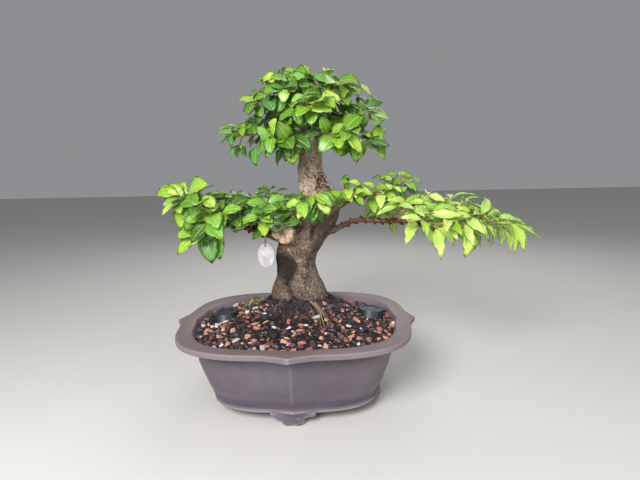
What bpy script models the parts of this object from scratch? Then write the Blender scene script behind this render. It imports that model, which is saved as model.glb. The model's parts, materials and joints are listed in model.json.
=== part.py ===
# Privet bonsai in its lobed clay pot, with soil, training wires, feed caps and tag.
# Lengths are metres. Places on the tree are written in millimetres from the middle
# of the pot's footprint, and pass through mm() or point().

import math
import random
from collections import namedtuple

import bmesh
import bpy
from mathutils import Matrix, Vector
from mathutils.bvhtree import BVHTree

COLLECTION = "privet_bonsai"
GAP = 0.0003
SEED = 4173
UP = Vector((0, 0, 1))

# Where the middle of the pot stands, so that the whole part is centred on the origin
POT_PLACE = Vector((-0.0698, -0.0047, 0))

# Pot: outline with a cusp on each side, and the heights of its profile
POT_HEIGHT = 0.1005
RIM_HALF_WIDTH = 0.141
RIM_HALF_DEPTH = 0.1265
RIM_POWER = 3.2
RIM_CUSP = 0.0095
RIM_FLAT = 0.0175
RIM_ROUND = 0.0015
LIP_DEPTH = 0.0065
LIP_ROOT = 0.004
BODY_HALF_WIDTH = 0.1223
BODY_HALF_DEPTH = 0.1038
BODY_TAPER = 0.0198
BODY_CUSP = 0.004
BODY_POWER = 3.0
TAPER_POWER = 1.35
LIP_COVE = 0.008
COVE_START = 0.86
FOOT_HEIGHT = 0.014
SKIRT_HEIGHT = 0.005
SKIRT_FLARE = 0.0025
SKIRT_ROUND = 0.0015
BODY_ROWS = (0.28, 0.58, 0.87, 0.96)
WALL = 0.0085
FLOOR_TOP = 0.0235
INNER_WAIST = 0.060
FLOOR_ROUND = 0.001
CUSP_SPAN = 0.032
CUSP_STEPS = (0.0, 0.006, 0.015, 0.028)
CORNER_STEPS = 6

# Feet: half outline of the bracket from its middle outwards, x and height
FOOT_OUTLINE = ((0.009, 0.0), (0.0125, 0.003), (0.0145, 0.008), (0.0195, 0.0105), (0.025, 0.0115),
                (0.0265, 0.016))
FOOT_THICKNESS = 0.013
FOOT_INSET = 0.011

# Drainage
DRAIN_OFFSET = 0.055
DRAIN_RADIUS = 0.009
MESH_SIZE = 0.026
MESH_THICKNESS = 0.001
MESH_CELLS = 2
MESH_BAR = 0.0025

# Soil
SOIL_EDGE = 0.0935
SOIL_TOP = 0.1115
SOIL_RINGS = (0.92, 0.80, 0.68, 0.56, 0.45)
MOUND_POWER = 1.9
GRAIN = 0.0011
MOSS_PLACE = (-0.069, 0.081)
MOSS_RADIUS = 0.017
MOSS_HEIGHT = 0.004
WALL_SLACK = 0.0006
TRUNK_SLACK = 0.0004
TRUNK_PIT = 0.02
POCKET_SLACK = 0.001
SEAT_SLACK = 0.0006

# Trunk: middle and half sizes at each height, in millimetres
Station = namedtuple("Station", "x y z wide deep")
TRUNK = (
    Station(5, 25, 80, 33, 29),
    Station(5, 25, 114, 35, 30),
    Station(5, 25, 122, 34, 29),
    Station(4, 25, 133, 32, 27.5),
    Station(2, 24, 147, 28, 25),
    Station(0, 23, 163, 25, 23),
    Station(1, 22, 178, 26, 24),
    Station(8, 21, 193, 28.5, 25),
    Station(16, 20, 208, 30, 25),
    Station(24, 19, 223, 30.5, 25),
    Station(29, 18, 238, 28, 24),
    Station(31, 17, 250, 23.5, 22),
    Station(28, 16, 262, 20, 19),
    Station(25, 15, 270, 18.5, 18),
    Station(23, 15, 278, 17, 16.5),
    Station(21, 15, 290, 15, 15),
    Station(22, 15, 303, 13.5, 13.5),
    Station(22, 14, 317, 11.5, 11.5),
    Station(20, 13, 333, 9, 9),
    Station(17, 12, 352, 6.2, 6.2),
    Station(14, 11, 368, 4.2, 4.2),
    Station(11, 10, 381, 2.6, 2.6),
)
TRUNK_SIDES = 16
BUTTRESS = 0.14
BUTTRESS_FADE = 0.150
SCAR_HEIGHT = 0.272
SCAR_AZIMUTH = -25
SCAR_DEPTH = 0.34
SCAR_SPREAD = 0.42
SCAR_TALL = 0.008
BURLS = (0.035, 0.025)

# Limbs: route by hand, in millimetres, and radius at the trunk and at the tip
Limb = namedtuple("Limb", "name route thick thin")
LIMBS = (
    Limb("left", ((9, 18, 196), (-10, 8, 201), (-24, 2, 206), (-37, -1, 211), (-52, -3, 216),
                  (-68, -3, 220), (-83, -1, 225), (-93, 0, 228)), 8.5, 2.4),
    Limb("right", ((30, 18, 205), (46, 13, 209), (58, 10, 215), (70, 7, 221), (84, 4, 224),
                   (108, 3, 222), (136, 1, 221), (158, 1, 218), (181, 3, 217), (202, 5, 219)), 4.0, 1.8),
    Limb("upper", ((33, 17, 230), (48, 17, 236), (60, 19, 241), (73, 21, 248), (90, 23, 252),
                   (104, 23, 255), (116, 23, 258)), 3.8, 1.8),
    Limb("back", ((18, 20, 220), (8, 38, 226), (-3, 56, 231), (-13, 74, 234)), 6.5, 2.0),
)
STUB_ROUTE = ((7, 16, 202), (-7, 2, 212), (-13, -5, 217))
STUB_RADII = (14.0, 12.0, 10.5)

# Leafy sprays: what bears them, how far along it, and the way they reach from it
Spray = namedtuple("Spray", "name bearer share azimuth reach rise pairs forks leaf")
SPRAYS = (
    Spray("left_tip", "left", 1.00, 188, 38, 24, 3, 2, 31),
    Spray("left_front", "left", 0.70, 236, 54, 20, 3, 1, 30),
    Spray("left_rear", "left", 0.60, 122, 70, 20, 3, 2, 29),
    Spray("left_upper", "left", 0.50, 176, 20, 32, 2, 1, 27),
    Spray("left_low", "left", 0.85, 230, 38, -6, 2, 1, 32),
    Spray("left_inner", "left", 0.30, 250, 46, 30, 3, 1, 27),
    Spray("front_inner", "trunk", 0.47, 268, 64, 22, 2, 1, 27),
    Spray("right_tip", "right", 1.00, 2, 55, -4, 4, 2, 35),
    Spray("right_front", "right", 0.62, 306, 55, -2, 3, 1, 33),
    Spray("right_rear", "right", 0.72, 50, 68, 12, 3, 2, 32),
    Spray("right_mid", "right", 0.52, 318, 40, 20, 2, 1, 30),
    Spray("right_back", "right", 0.42, 66, 56, 14, 3, 1, 30),
    Spray("right_outer", "right", 0.82, 312, 48, 4, 3, 1, 34),
    Spray("right_side", "right", 0.90, 42, 44, 10, 2, 1, 33),
    Spray("upper_tip", "upper", 1.00, 350, 22, 10, 2, 1, 29),
    Spray("upper_front", "upper", 0.52, 250, 40, 12, 2, 1, 27),
    Spray("upper_rear", "upper", 0.76, 46, 54, 6, 3, 1, 28),
    Spray("upper_mid", "upper", 0.68, 302, 38, 4, 2, 1, 28),
    Spray("back_tip", "back", 1.00, 122, 50, 6, 3, 1, 28),
    Spray("back_side", "back", 0.62, 70, 56, 8, 3, 1, 28),
    Spray("crown_west", "trunk", 0.775, 194, 84, 8, 4, 1, 24),
    Spray("crown_east", "trunk", 0.790, 346, 72, -8, 4, 1, 28),
    Spray("crown_south", "trunk", 0.785, 243, 62, -4, 3, 1, 28),
    Spray("crown_southeast", "trunk", 0.800, 304, 64, -4, 3, 1, 29),
    Spray("crown_north", "trunk", 0.780, 84, 66, 4, 3, 1, 27),
    Spray("crown_northwest", "trunk", 0.815, 130, 72, 12, 3, 1, 27),
    Spray("crown_northeast", "trunk", 0.825, 42, 72, 12, 3, 1, 28),
    Spray("crown_right", "trunk", 0.835, 352, 72, 12, 3, 1, 29),
    Spray("crown_left", "trunk", 0.840, 184, 58, 24, 3, 1, 26),
    Spray("crown_front", "trunk", 0.860, 276, 54, 14, 3, 1, 29),
    Spray("crown_shoulder", "trunk", 0.885, 340, 52, 34, 3, 1, 27),
    Spray("crown_rear", "trunk", 0.890, 100, 50, 24, 3, 1, 27),
    Spray("crown_brow", "trunk", 0.915, 240, 38, 24, 2, 1, 26),
    Spray("crown_peak_left", "trunk", 0.930, 186, 34, 28, 2, 1, 24),
    Spray("crown_peak_right", "trunk", 0.955, 25, 26, 22, 2, 1, 25),
    Spray("crown_tip", "trunk", 1.00, 250, 6, 21, 2, 0, 20),
)
ARCH = 0.07
SWAY = 0.035
BARE_TWIG = 0.009
TWIG_GAP = 0.0004
TWIG_RADII = (2.1, 1.5, 0.9)
FORK_RADII = (1.1, 0.8)
FORK_ANGLE = 42
FORK_LENGTH = 0.46

# Leaves
BLADE = 0.0007
LEAF_ASPECT = 0.56
CROWN_ASPECT = 0.72
LEAF_ANGLE = 56
TIP_ANGLE = 42
FAN_ANGLE = 28
LEAF_DROOP = 0.75
LEAF_FOLD = 0.16
LEAF_ROWS = (0.33, 0.68)
SHIELD_ROWS = (0.30, 0.33, 0.5, 0.68, 0.85, 1.0)
COLLAR = 0.0006
RING_PICKS = {4: (0, 1, 2, 3), 6: (0, 2, 3, 5)}
LEAF_TURNS = ((0, 0), (16, 0), (-16, 0), (30, 0), (-30, 0), (0, 14), (0, -14), (44, 0), (-44, 0),
              (30, 16), (-30, 16), (24, -16), (-24, -16))
CLEARANCE = 0.0005

# Training wires: limb, share of the limb where the coil starts and ends, pitch
Wire = namedtuple("Wire", "name limb first last pitch radius")
WIRES = (
    Wire("wire_left", "left", 0.40, 0.97, 0.0085, 0.0011),
    Wire("wire_right", "right", 0.18, 0.97, 0.0115, 0.0009),
    Wire("wire_upper", "upper", 0.36, 0.95, 0.0100, 0.0009),
)
WIRE_POINTS = 6

# Feed caps: place, base height and lean outwards
Cap = namedtuple("Cap", "name x y z lean")
CAPS = (Cap("left", -0.0925, 0.012, 0.0955, -7), Cap("right", 0.0960, 0.020, 0.0955, 5))
CAP_TOP_RADIUS = 0.0160
CAP_BASE_RADIUS = 0.0175
CAP_HEIGHT = 0.0105
CAP_WALL = 0.0015
CAP_EDGE = 0.0012
CAP_SIDES = 18
CAP_HOLES = 4
CAP_HOLE_RADIUS = 0.0016
CAP_HOLE_RING = 0.0085
CAKE_RADIUS = 0.012
CAKE_HEIGHT = 0.006

# Tag and the wire ring that hangs it from the left limb
TAG_SHARE = 0.455
TAG_WIDE = 0.021
TAG_HIGH = 0.031
TAG_THICK = 0.001
TAG_HOLE = 0.0017
TAG_HOLE_DROP = 0.0036
TAG_WIRE = 0.00045
TAG_DROP = 0.0165
TAG_SLACK = 0.0012
TAG_WIRE_SIDES = 12

# Colours, linear RGB, with roughness and metallic value
CLAY = ((0.17, 0.135, 0.14), 0.75, 0.0)
EARTH = ((0.12, 0.075, 0.055), 0.95, 0.0)
BARK = ((0.15, 0.11, 0.075), 0.9, 0.0)
LEAF = ((0.10, 0.36, 0.03), 0.4, 0.0)
COPPER = ((0.42, 0.17, 0.07), 0.35, 1.0)
PLASTIC = ((0.015, 0.025, 0.035), 0.5, 0.0)
CAKE = ((0.10, 0.06, 0.03), 0.95, 0.0)
TAG_WHITE = ((0.82, 0.83, 0.85), 0.4, 0.0)
STEEL = ((0.55, 0.55, 0.55), 0.4, 1.0)
NET = ((0.02, 0.02, 0.02), 0.6, 0.0)


def mm(value):
    return value / 1000


def point(place):
    return Vector(place) / 1000


def clear_scene():
    for old in list(bpy.data.objects):
        bpy.data.objects.remove(old, do_unlink=True)


def make_collection(name):
    collection = bpy.data.collections.new(name)
    bpy.context.scene.collection.children.link(collection)
    return collection


def material(name, look):
    colour, roughness, metallic = look
    paint = bpy.data.materials.new(name)
    paint.use_nodes = True
    shader = paint.node_tree.nodes["Principled BSDF"]
    shader.inputs["Base Color"].default_value = (*colour, 1)
    shader.inputs["Roughness"].default_value = roughness
    shader.inputs["Metallic"].default_value = metallic
    return paint


def finish(obj, look, smooth_angle=None):
    obj.data.materials.clear()
    obj.data.materials.append(material(obj.name, look))
    if smooth_angle:
        obj.data.shade_smooth()
        obj.data.set_sharp_from_angle(angle=math.radians(smooth_angle))
    obj.parent = BASE
    return obj


def link_mesh(name, mesh, collection):
    obj = bpy.data.objects.new(name, mesh)
    collection.objects.link(obj)
    return obj


def object_from_bmesh(name, bm, collection):
    bmesh.ops.recalc_face_normals(bm, faces=bm.faces)
    mesh = bpy.data.meshes.new(name)
    bm.to_mesh(mesh)
    bm.free()
    return link_mesh(name, mesh, collection)


def evaluated_mesh(obj):
    depsgraph = bpy.context.evaluated_depsgraph_get()
    return bpy.data.meshes.new_from_object(obj.evaluated_get(depsgraph))


def fuse(obj, repeats):
    # one union joins everything in the collection to the object, and is applied
    union = obj.modifiers.new("union", "BOOLEAN")
    union.operation = "UNION"
    union.operand_type = "COLLECTION"
    union.collection = repeats
    union.solver = "EXACT"
    joined = evaluated_mesh(obj)
    obj.modifiers.clear()
    obj.data = joined
    for repeat in list(repeats.objects):
        bpy.data.objects.remove(repeat, do_unlink=True)
    bpy.data.collections.remove(repeats)
    return obj


def cut(obj, cutter):
    cutter.hide_render = True
    cutter.display_type = "WIRE"
    cutter.parent = BASE
    opening = obj.modifiers.new(cutter.name, "BOOLEAN")
    opening.operation = "DIFFERENCE"
    opening.object = cutter


def bridge(bm, low, high):
    # quads between rings of equal count, and triangles where the counts differ
    if len(low) == len(high):
        turns = [(i, (i + 1) % len(low)) for i in range(len(low))]
        return [bm.faces.new((low[i], low[j], high[j], high[i])) for i, j in turns]
    faces = []
    i = j = 0
    while i < len(low) or j < len(high):
        here, there = low[i % len(low)], high[j % len(high)]
        if (i + 1) * len(high) <= (j + 1) * len(low):
            i += 1
            faces.append(bm.faces.new((here, low[i % len(low)], there)))
        else:
            j += 1
            faces.append(bm.faces.new((here, high[j % len(high)], there)))
    return faces


def loft(name, rings, collection):
    # faces between closed rings, with one over each end that has three corners or more
    bm = bmesh.new()
    rows = [[bm.verts.new(place) for place in ring] for ring in rings]
    for low, high in zip(rows, rows[1:]):
        bridge(bm, low, high)
    for end in (rows[0], rows[-1]):
        if len(end) > 2:
            bm.faces.new(end)
    return object_from_bmesh(name, bm, collection)


def cylinder(name, radius, height, middle, sides, collection):
    bm = bmesh.new()
    bmesh.ops.create_cone(
        bm, cap_ends=True, segments=sides, radius1=radius, radius2=radius, depth=height,
        matrix=Matrix.Translation(middle))
    return object_from_bmesh(name, bm, collection)


def box(name, size, middle, collection):
    bm = bmesh.new()
    scale = Matrix.Diagonal((*size, 1))
    bmesh.ops.create_cube(bm, size=1, matrix=Matrix.Translation(middle) @ scale)
    return object_from_bmesh(name, bm, collection)


def tube(name, places, radii, resolution, collection, cyclic=False):
    # a bevelled curve through the places, made a mesh with its caps welded
    curve = bpy.data.curves.new(name, "CURVE")
    curve.dimensions = "3D"
    curve.bevel_depth = 1
    curve.bevel_resolution = resolution
    curve.use_fill_caps = not cyclic
    spline = curve.splines.new("POLY")
    spline.use_cyclic_u = cyclic
    spline.points.add(len(places) - 1)
    for knot, place, radius in zip(spline.points, places, radii):
        knot.co = (*place, 1)
        knot.radius = radius
    guide = link_mesh(name + "_guide", curve, collection)
    mesh = evaluated_mesh(guide)
    bpy.data.objects.remove(guide, do_unlink=True)
    bm = bmesh.new()
    bm.from_mesh(mesh)
    bmesh.ops.remove_doubles(bm, verts=bm.verts, dist=0.00001)
    return object_from_bmesh(name, bm, collection)


def catmull(places, steps):
    # smooth curve through the places, with a number of steps between two of them
    ends = [2 * places[0] - places[1]] + list(places) + [2 * places[-1] - places[-2]]
    line = []
    for a, b, c, d in zip(ends, ends[1:], ends[2:], ends[3:]):
        for i in range(steps):
            t = i / steps
            line.append(0.5 * (2 * b + (c - a) * t + (2 * a - 5 * b + 4 * c - d) * t ** 2
                               + (3 * b - a - 3 * c + d) * t ** 3))
    return line + [places[-1].copy()]


def distances(line):
    total = [0.0]
    for a, b in zip(line, line[1:]):
        total.append(total[-1] + (b - a).length)
    return total


def at_distance(line, total, distance):
    for i in range(1, len(total)):
        if total[i] >= distance or i == len(total) - 1:
            part = (distance - total[i - 1]) / (total[i] - total[i - 1])
            return line[i - 1].lerp(line[i], part), (line[i] - line[i - 1]).normalized()


def resample(line, start, end, steps):
    total = distances(line)
    return [at_distance(line, total, start + (end - start) * i / steps)[0] for i in range(steps + 1)]


# Pot

def outline_angles():
    near_x = [math.atan2(step, RIM_HALF_WIDTH) for step in CUSP_STEPS]
    near_y = [math.pi / 2 - math.atan2(step, RIM_HALF_DEPTH) for step in reversed(CUSP_STEPS)]
    first, last = near_x[-1], near_y[0]
    corner = [first + (last - first) * i / CORNER_STEPS for i in range(1, CORNER_STEPS)]
    quarter = near_x + corner + near_y
    half = quarter + [math.pi - angle for angle in reversed(quarter[:-1])]
    return half[:-1] + [angle + math.pi for angle in half[:-1]]


def lobed_ring(half_width, half_depth, power, cusp, height):
    ring = []
    for angle in outline_angles():
        across, along = math.cos(angle), math.sin(angle)
        reach = (abs(across / half_width) ** power + abs(along / half_depth) ** power) ** (-1 / power)
        x, y = reach * across, reach * along
        if abs(y) < CUSP_SPAN:
            x += math.copysign(cusp * (1 - abs(y) / CUSP_SPAN) ** 1.5, x)
        elif abs(x) < CUSP_SPAN:
            y += math.copysign(cusp * (1 - abs(x) / CUSP_SPAN) ** 1.5, y)
        ring.append((x, y, height))
    return ring


def body_ring(height, inset=0.0):
    # the bowl narrows downwards, and curves out under the lip
    rise = (height - FOOT_HEIGHT) / (POT_HEIGHT - LIP_DEPTH - FOOT_HEIGHT)
    narrow = BODY_TAPER * (1 - math.sin(math.pi / 2 * min(max(rise, 0), 1)) ** TAPER_POWER)
    narrow -= LIP_COVE * (max(min(rise, 1) - COVE_START, 0) / (1 - COVE_START)) ** 2
    return lobed_ring(BODY_HALF_WIDTH - narrow - inset, BODY_HALF_DEPTH - narrow - inset, BODY_POWER,
                      BODY_CUSP, height)


def inner_ring(height, inset=0.0):
    return body_ring(height, WALL + inset)


def rim_ring(inset, height):
    cusp = RIM_CUSP if inset < RIM_FLAT / 2 else BODY_CUSP
    return lobed_ring(RIM_HALF_WIDTH - inset, RIM_HALF_DEPTH - inset, RIM_POWER, cusp, height)


def foot(name, turn, collection):
    half = list(FOOT_OUTLINE)
    corners = half + [(-x, z) for x, z in reversed(half)]
    bm = bmesh.new()
    face = bm.faces.new([bm.verts.new((x, 0, z)) for x, z in corners])
    pushed = bmesh.ops.extrude_face_region(bm, geom=[face])["geom"]
    moved = [part for part in pushed if isinstance(part, bmesh.types.BMVert)]
    bmesh.ops.translate(bm, verts=moved, vec=(0, FOOT_THICKNESS, 0))
    reach = (BODY_HALF_WIDTH if turn % 180 else BODY_HALF_DEPTH) - BODY_TAPER
    bmesh.ops.translate(bm, verts=bm.verts, vec=(0, FOOT_INSET - FOOT_THICKNESS - reach, 0))
    bmesh.ops.rotate(bm, verts=bm.verts, cent=(0, 0, 0), matrix=Matrix.Rotation(math.radians(turn), 3, "Z"))
    return object_from_bmesh(name, bm, collection)


def make_pot():
    lip_under = POT_HEIGHT - LIP_DEPTH
    rings = [body_ring(FOOT_HEIGHT, SKIRT_ROUND)]
    rings.append(body_ring(FOOT_HEIGHT + SKIRT_ROUND))
    rings.append(body_ring(FOOT_HEIGHT + SKIRT_HEIGHT, SKIRT_FLARE))
    for share in BODY_ROWS:
        rings.append(body_ring(FOOT_HEIGHT + share * (lip_under - FOOT_HEIGHT)))
    rings.append(rim_ring(LIP_ROOT, lip_under))
    rings.append(rim_ring(0.0, lip_under + RIM_ROUND))
    rings.append(rim_ring(0.0, POT_HEIGHT - RIM_ROUND))
    rings.append(rim_ring(RIM_ROUND, POT_HEIGHT))
    rings.append(rim_ring(RIM_FLAT, POT_HEIGHT))
    rings.append(inner_ring(SOIL_EDGE + 0.002))
    rings.append(inner_ring(INNER_WAIST))
    rings.append(inner_ring(FLOOR_TOP, FLOOR_ROUND))
    pot = loft("pot", rings, PARTS)
    feet = make_collection("feet")
    for i in range(4):
        foot("foot", 90 * i, feet)
    fuse(pot, feet)
    for side in (-1, 1):
        place = (side * DRAIN_OFFSET, 0, (FOOT_HEIGHT + FLOOR_TOP) / 2)
        cut(pot, cylinder("drain_cutter", DRAIN_RADIUS, 0.03, place, 16, CUTTERS))
    return finish(pot, CLAY, 30)


def make_mesh(name, side):
    middle = Vector((side * DRAIN_OFFSET, 0, FLOOR_TOP + GAP + MESH_THICKNESS / 2))
    net = box(name, (MESH_SIZE, MESH_SIZE, MESH_THICKNESS), middle, PARTS)
    pitch = (MESH_SIZE - MESH_BAR) / MESH_CELLS
    opening = pitch - MESH_BAR
    centre = (MESH_CELLS - 1) / 2
    for row in range(MESH_CELLS):
        for column in range(MESH_CELLS):
            shift = Vector(((column - centre) * pitch, (row - centre) * pitch, 0))
            cut(net, box("net_cutter", (opening, opening, 0.01), middle + shift, CUTTERS))
    return finish(net, NET)


# Soil

def trunk_ring(station, grow=0.0, lift=0.0):
    # a lobed section: buttresses at the foot, burls above, and the scar's hollow
    ring = []
    height = mm(station.z)
    flare = BUTTRESS * min(max((BUTTRESS_FADE - height) / 0.03, 0), 1)
    for i in range(TRUNK_SIDES):
        angle = 2 * math.pi * i / TRUNK_SIDES
        swell = 1 + flare * (0.5 * math.cos(2 * angle) + 0.5 * math.cos(3 * angle + 0.8))
        if height > mm(TRUNK[1].z):
            swell += BURLS[0] * math.sin(3 * angle + height * 90)
            swell += BURLS[1] * math.sin(5 * angle - height * 60)
        turn = (angle - math.radians(SCAR_AZIMUTH) + math.pi) % (2 * math.pi) - math.pi
        away = (turn / SCAR_SPREAD) ** 2 + ((height - SCAR_HEIGHT) / SCAR_TALL) ** 2
        swell -= SCAR_DEPTH * math.exp(-away)
        wide, deep = mm(station.wide) * swell + grow, mm(station.deep) * swell + grow
        ring.append(point(station[:3]) + Vector((wide * math.cos(angle), deep * math.sin(angle), lift)))
    return ring


def soil_ring(share, draw):
    # rings shrink from the wall to the trunk and climb the mound
    trunk_foot = point(TRUNK[1][:2] + (0,))
    ring = []
    for place in inner_ring(SOIL_EDGE, GAP + 0.001):
        spot = trunk_foot.lerp(Vector(place), share)
        height = SOIL_EDGE + (SOIL_TOP - SOIL_EDGE) * ((1 - share) / (1 - SOIL_RINGS[-1])) ** MOUND_POWER
        if share > SOIL_RINGS[-1]:
            height += draw.uniform(-GRAIN, GRAIN)
        moss = 1 - (Vector(MOSS_PLACE) - spot.xy).length / MOSS_RADIUS
        ring.append((spot.x, spot.y, height + MOSS_HEIGHT * max(moss, 0)))
    return ring


def make_soil():
    draw = random.Random(SEED)
    rings = [inner_ring(FLOOR_TOP + GAP, FLOOR_ROUND + GAP)]
    rings.append(inner_ring(INNER_WAIST, WALL_SLACK))
    rings.append(inner_ring(SOIL_EDGE, WALL_SLACK))
    rings += [soil_ring(share, draw) for share in SOIL_RINGS]
    soil = loft("soil", rings, PARTS)
    depth = mm(TRUNK[1].z - TRUNK[0].z) + GAP
    hole = [trunk_ring(TRUNK[1], TRUNK_SLACK, lift) for lift in (-depth, TRUNK_PIT)]
    cut(soil, loft("trunk_hole_cutter", hole, CUTTERS))
    for side in (-1, 1):
        wide = MESH_SIZE + 2 * POCKET_SLACK
        size = (wide, wide, 2 * (MESH_THICKNESS + 2 * GAP))
        cut(soil, box("net_pocket_cutter", size, (side * DRAIN_OFFSET, 0, FLOOR_TOP), CUTTERS))
    for cap in CAPS:
        middle = (0, 0, CAP_HEIGHT - GAP)
        seat = cylinder(
            "cap_seat_cutter", CAP_BASE_RADIUS + SEAT_SLACK, 2 * CAP_HEIGHT, middle, CAP_SIDES, CUTTERS)
        seat.matrix_local = cap_matrix(cap)
        cut(soil, seat)
    return finish(soil, EARTH)


# Tree

def bearer_line(name):
    if name == "trunk":
        return [point(station[:3]) for station in TRUNK[1:]]
    limb = next(limb for limb in LIMBS if limb.name == name)
    return catmull([point(place) for place in limb.route], 3)


def limb_places(limb):
    line = bearer_line(limb.name)
    return resample(line, 0, distances(line)[-1], len(limb.route) + 1)


def bearer_end(name):
    # the tip of a bearer and the way it points
    if name == "trunk":
        return bearer_line(name)[-1], UP
    places = limb_places(next(limb for limb in LIMBS if limb.name == name))
    return places[-1], (places[-1] - places[-2]).normalized()


def bearer_radius(name, share):
    if name == "trunk":
        line = bearer_line(name)
        total = distances(line)
        for i in range(1, len(total)):
            if total[i] >= share * total[-1] - 1e-9:
                return mm(TRUNK[i + 1].wide)
    limb = next(limb for limb in LIMBS if limb.name == name)
    return mm(limb.thin + (limb.thick - limb.thin) * (1 - share) ** 1.4)


def spray_line(spray):
    line = bearer_line(spray.bearer)
    total = distances(line)
    start = at_distance(line, total, spray.share * total[-1])[0]
    heading = Vector((math.cos(math.radians(spray.azimuth)), math.sin(math.radians(spray.azimuth)), 0))
    side = UP.cross(heading)
    steps = 10
    reach, rise = mm(spray.reach), mm(spray.rise)
    length = math.hypot(reach, rise)
    places = []
    for i in range(steps + 1):
        t = i / steps
        place = start + heading * reach * t + UP * rise * t
        place += UP * ARCH * length * math.sin(math.pi * t) + side * SWAY * length * math.sin(2 * math.pi * t)
        places.append(place)
    return places


def bare_length(spray):
    if spray.share == 1:
        return 0.0
    return bearer_radius(spray.bearer, spray.share) + BARE_TWIG


def make_tree():
    tree = loft("trunk", [trunk_ring(station) for station in TRUNK], PARTS)
    shoots = make_collection("shoots")
    for limb in LIMBS:
        places = limb_places(limb)
        radii = [bearer_radius(limb.name, i / (len(places) - 1)) for i in range(len(places))]
        tube(limb.name, places, radii, 1, shoots)
    tube("stub", [point(place) for place in STUB_ROUTE], [mm(r) for r in STUB_RADII], 3, shoots)
    for spray in SPRAYS:
        if spray.share < 1:
            places = resample(spray_line(spray), 0, bare_length(spray), 1)
            tube(spray.name, places, [mm(TWIG_RADII[0]), mm(TWIG_RADII[1])], 1, shoots)
    fuse(tree, shoots)
    return finish(tree, BARK, 50)


# Leaves

def blade_width(t):
    return math.sin(math.pi * t ** 0.8) ** 0.9 if 0 < t < 1 else 0.0


def blade_place(t, s, leaf, rise=0.0):
    # t runs from root to tip and s across; the blade folds up from its rib and droops
    turn = leaf["droop"] * t
    along = leaf["length"] * math.sin(turn) / leaf["droop"]
    down = leaf["length"] * (1 - math.cos(turn)) / leaf["droop"]
    half = leaf["width"] / 2 * blade_width(t) * s
    lift = abs(half) * LEAF_FOLD * 2 + rise
    return Vector((along + lift * math.sin(turn), half, lift * math.cos(turn) - down))


def leaf_frame(leaf, roll, bend):
    # x along the leaf and z out of its upper face, rolled about the twig and bent from it
    hinge = leaf["axis"].cross(leaf["way"]).normalized()
    way = Matrix.Rotation(math.radians(bend), 3, hinge) @ leaf["way"]
    forward = (Matrix.Rotation(math.radians(roll), 3, leaf["axis"]) @ way).normalized()
    face = leaf["face"] - leaf["face"].dot(forward) * forward
    if face.length < 0.2:
        face = leaf["axis"] - leaf["axis"].dot(forward) * forward
    face.normalize()
    frame = Matrix((forward, face.cross(forward), face)).transposed().to_4x4()
    return Matrix.Translation(leaf["root"]) @ frame


def blade_ring(leaf, frame, t, grow=0.0):
    # left margin, rib and right margin above, and the same three below
    half = BLADE / 2 + grow
    ring = []
    for s, rise in ((-1, half), (0, half), (1, half), (1, -half), (0, -half), (-1, -half)):
        spot = blade_place(t, s, leaf, rise)
        spot.y += s * grow
        ring.append(frame @ spot)
    return ring


def leaf_rings(leaf, frame):
    tip = [frame @ blade_place(1, 0, leaf, rise) for rise in (BLADE / 2, -BLADE / 2)]
    return [blade_ring(leaf, frame, t) for t in LEAF_ROWS] + [tip]


def leaf_shield(leaf, frame):
    # a slightly larger closed blade that starts just past its root, for the crossing test
    places, faces = [], []
    first = blade_ring(leaf, frame, SHIELD_ROWS[1], CLEARANCE)
    places += [leaf["root"].lerp(place, SHIELD_ROWS[0]) for place in first]
    for t in SHIELD_ROWS[1:]:
        places += blade_ring(leaf, frame, t, CLEARANCE)
    for row in range(len(SHIELD_ROWS) - 1):
        for i in range(6):
            j = (i + 1) % 6
            faces.append((6 * row + i, 6 * row + j, 6 * row + 6 + j, 6 * row + 6 + i))
    faces.append(tuple(range(6)))
    faces.append(tuple(range(len(places) - 6, len(places))))
    return places, faces


class Crowd:
    # what a new leaf must not cross: everything placed so far
    def __init__(self):
        self.places = []
        self.faces = []
        self.tree = None

    def add(self, places, faces):
        shift = len(self.places)
        self.places += places
        self.faces += [tuple(index + shift for index in face) for face in faces]
        self.tree = BVHTree.FromPolygons(self.places, self.faces)

    def add_mesh(self, mesh):
        self.add([vert.co.copy() for vert in mesh.vertices], [tuple(face.vertices) for face in mesh.polygons])

    def crossed_by(self, places, faces):
        return bool(self.tree.overlap(BVHTree.FromPolygons(places, faces)))


# Sprays

def cross_frames(line, start=None):
    # forward, sideways and upward directions carried along the line without twist
    frames = []
    side = None
    for i in range(len(line)):
        ahead = (line[min(i + 1, len(line) - 1)] - line[max(i - 1, 0)]).normalized()
        ahead = start if start and i == 0 else ahead
        side = UP.cross(ahead) if side is None else side - side.dot(ahead) * ahead
        if side.length < 0.05:
            side = Vector((1, 0, 0))
        side = side.normalized()
        frames.append((ahead, side, ahead.cross(side)))
    return frames


def square_ring(middle, frame, radius):
    # corners in order, so that the faces after them look up, aside, down and to the other side
    ring = []
    for quarter in range(4):
        angle = math.radians(45 + 90 * quarter)
        ring.append(middle + radius * (frame[1] * math.cos(angle) + frame[2] * math.sin(angle)))
    return ring


def twig_rings(line, thick, thin, stops, start):
    # a four-sided twig with a ring of corners at each stop, the first square to its start
    total = distances(line)
    places = [at_distance(line, total, stop)[0] for stop in stops]
    frames = cross_frames(places, start)
    rings = []
    for stop, place, frame in zip(stops, places, frames):
        radius = thick + (thin - thick) * (stop / total[-1]) ** 0.8
        rings.append(square_ring(place, frame, radius))
    return rings, frames


def mean(places):
    return sum(places, Vector()) / len(places)


def winding(places, ahead):
    # positive where the places run round the given direction the right-handed way
    middle = mean(places)
    return sum((a - middle).cross(b - middle).dot(ahead) for a, b in zip(places, places[1:] + places[:1]))


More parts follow.
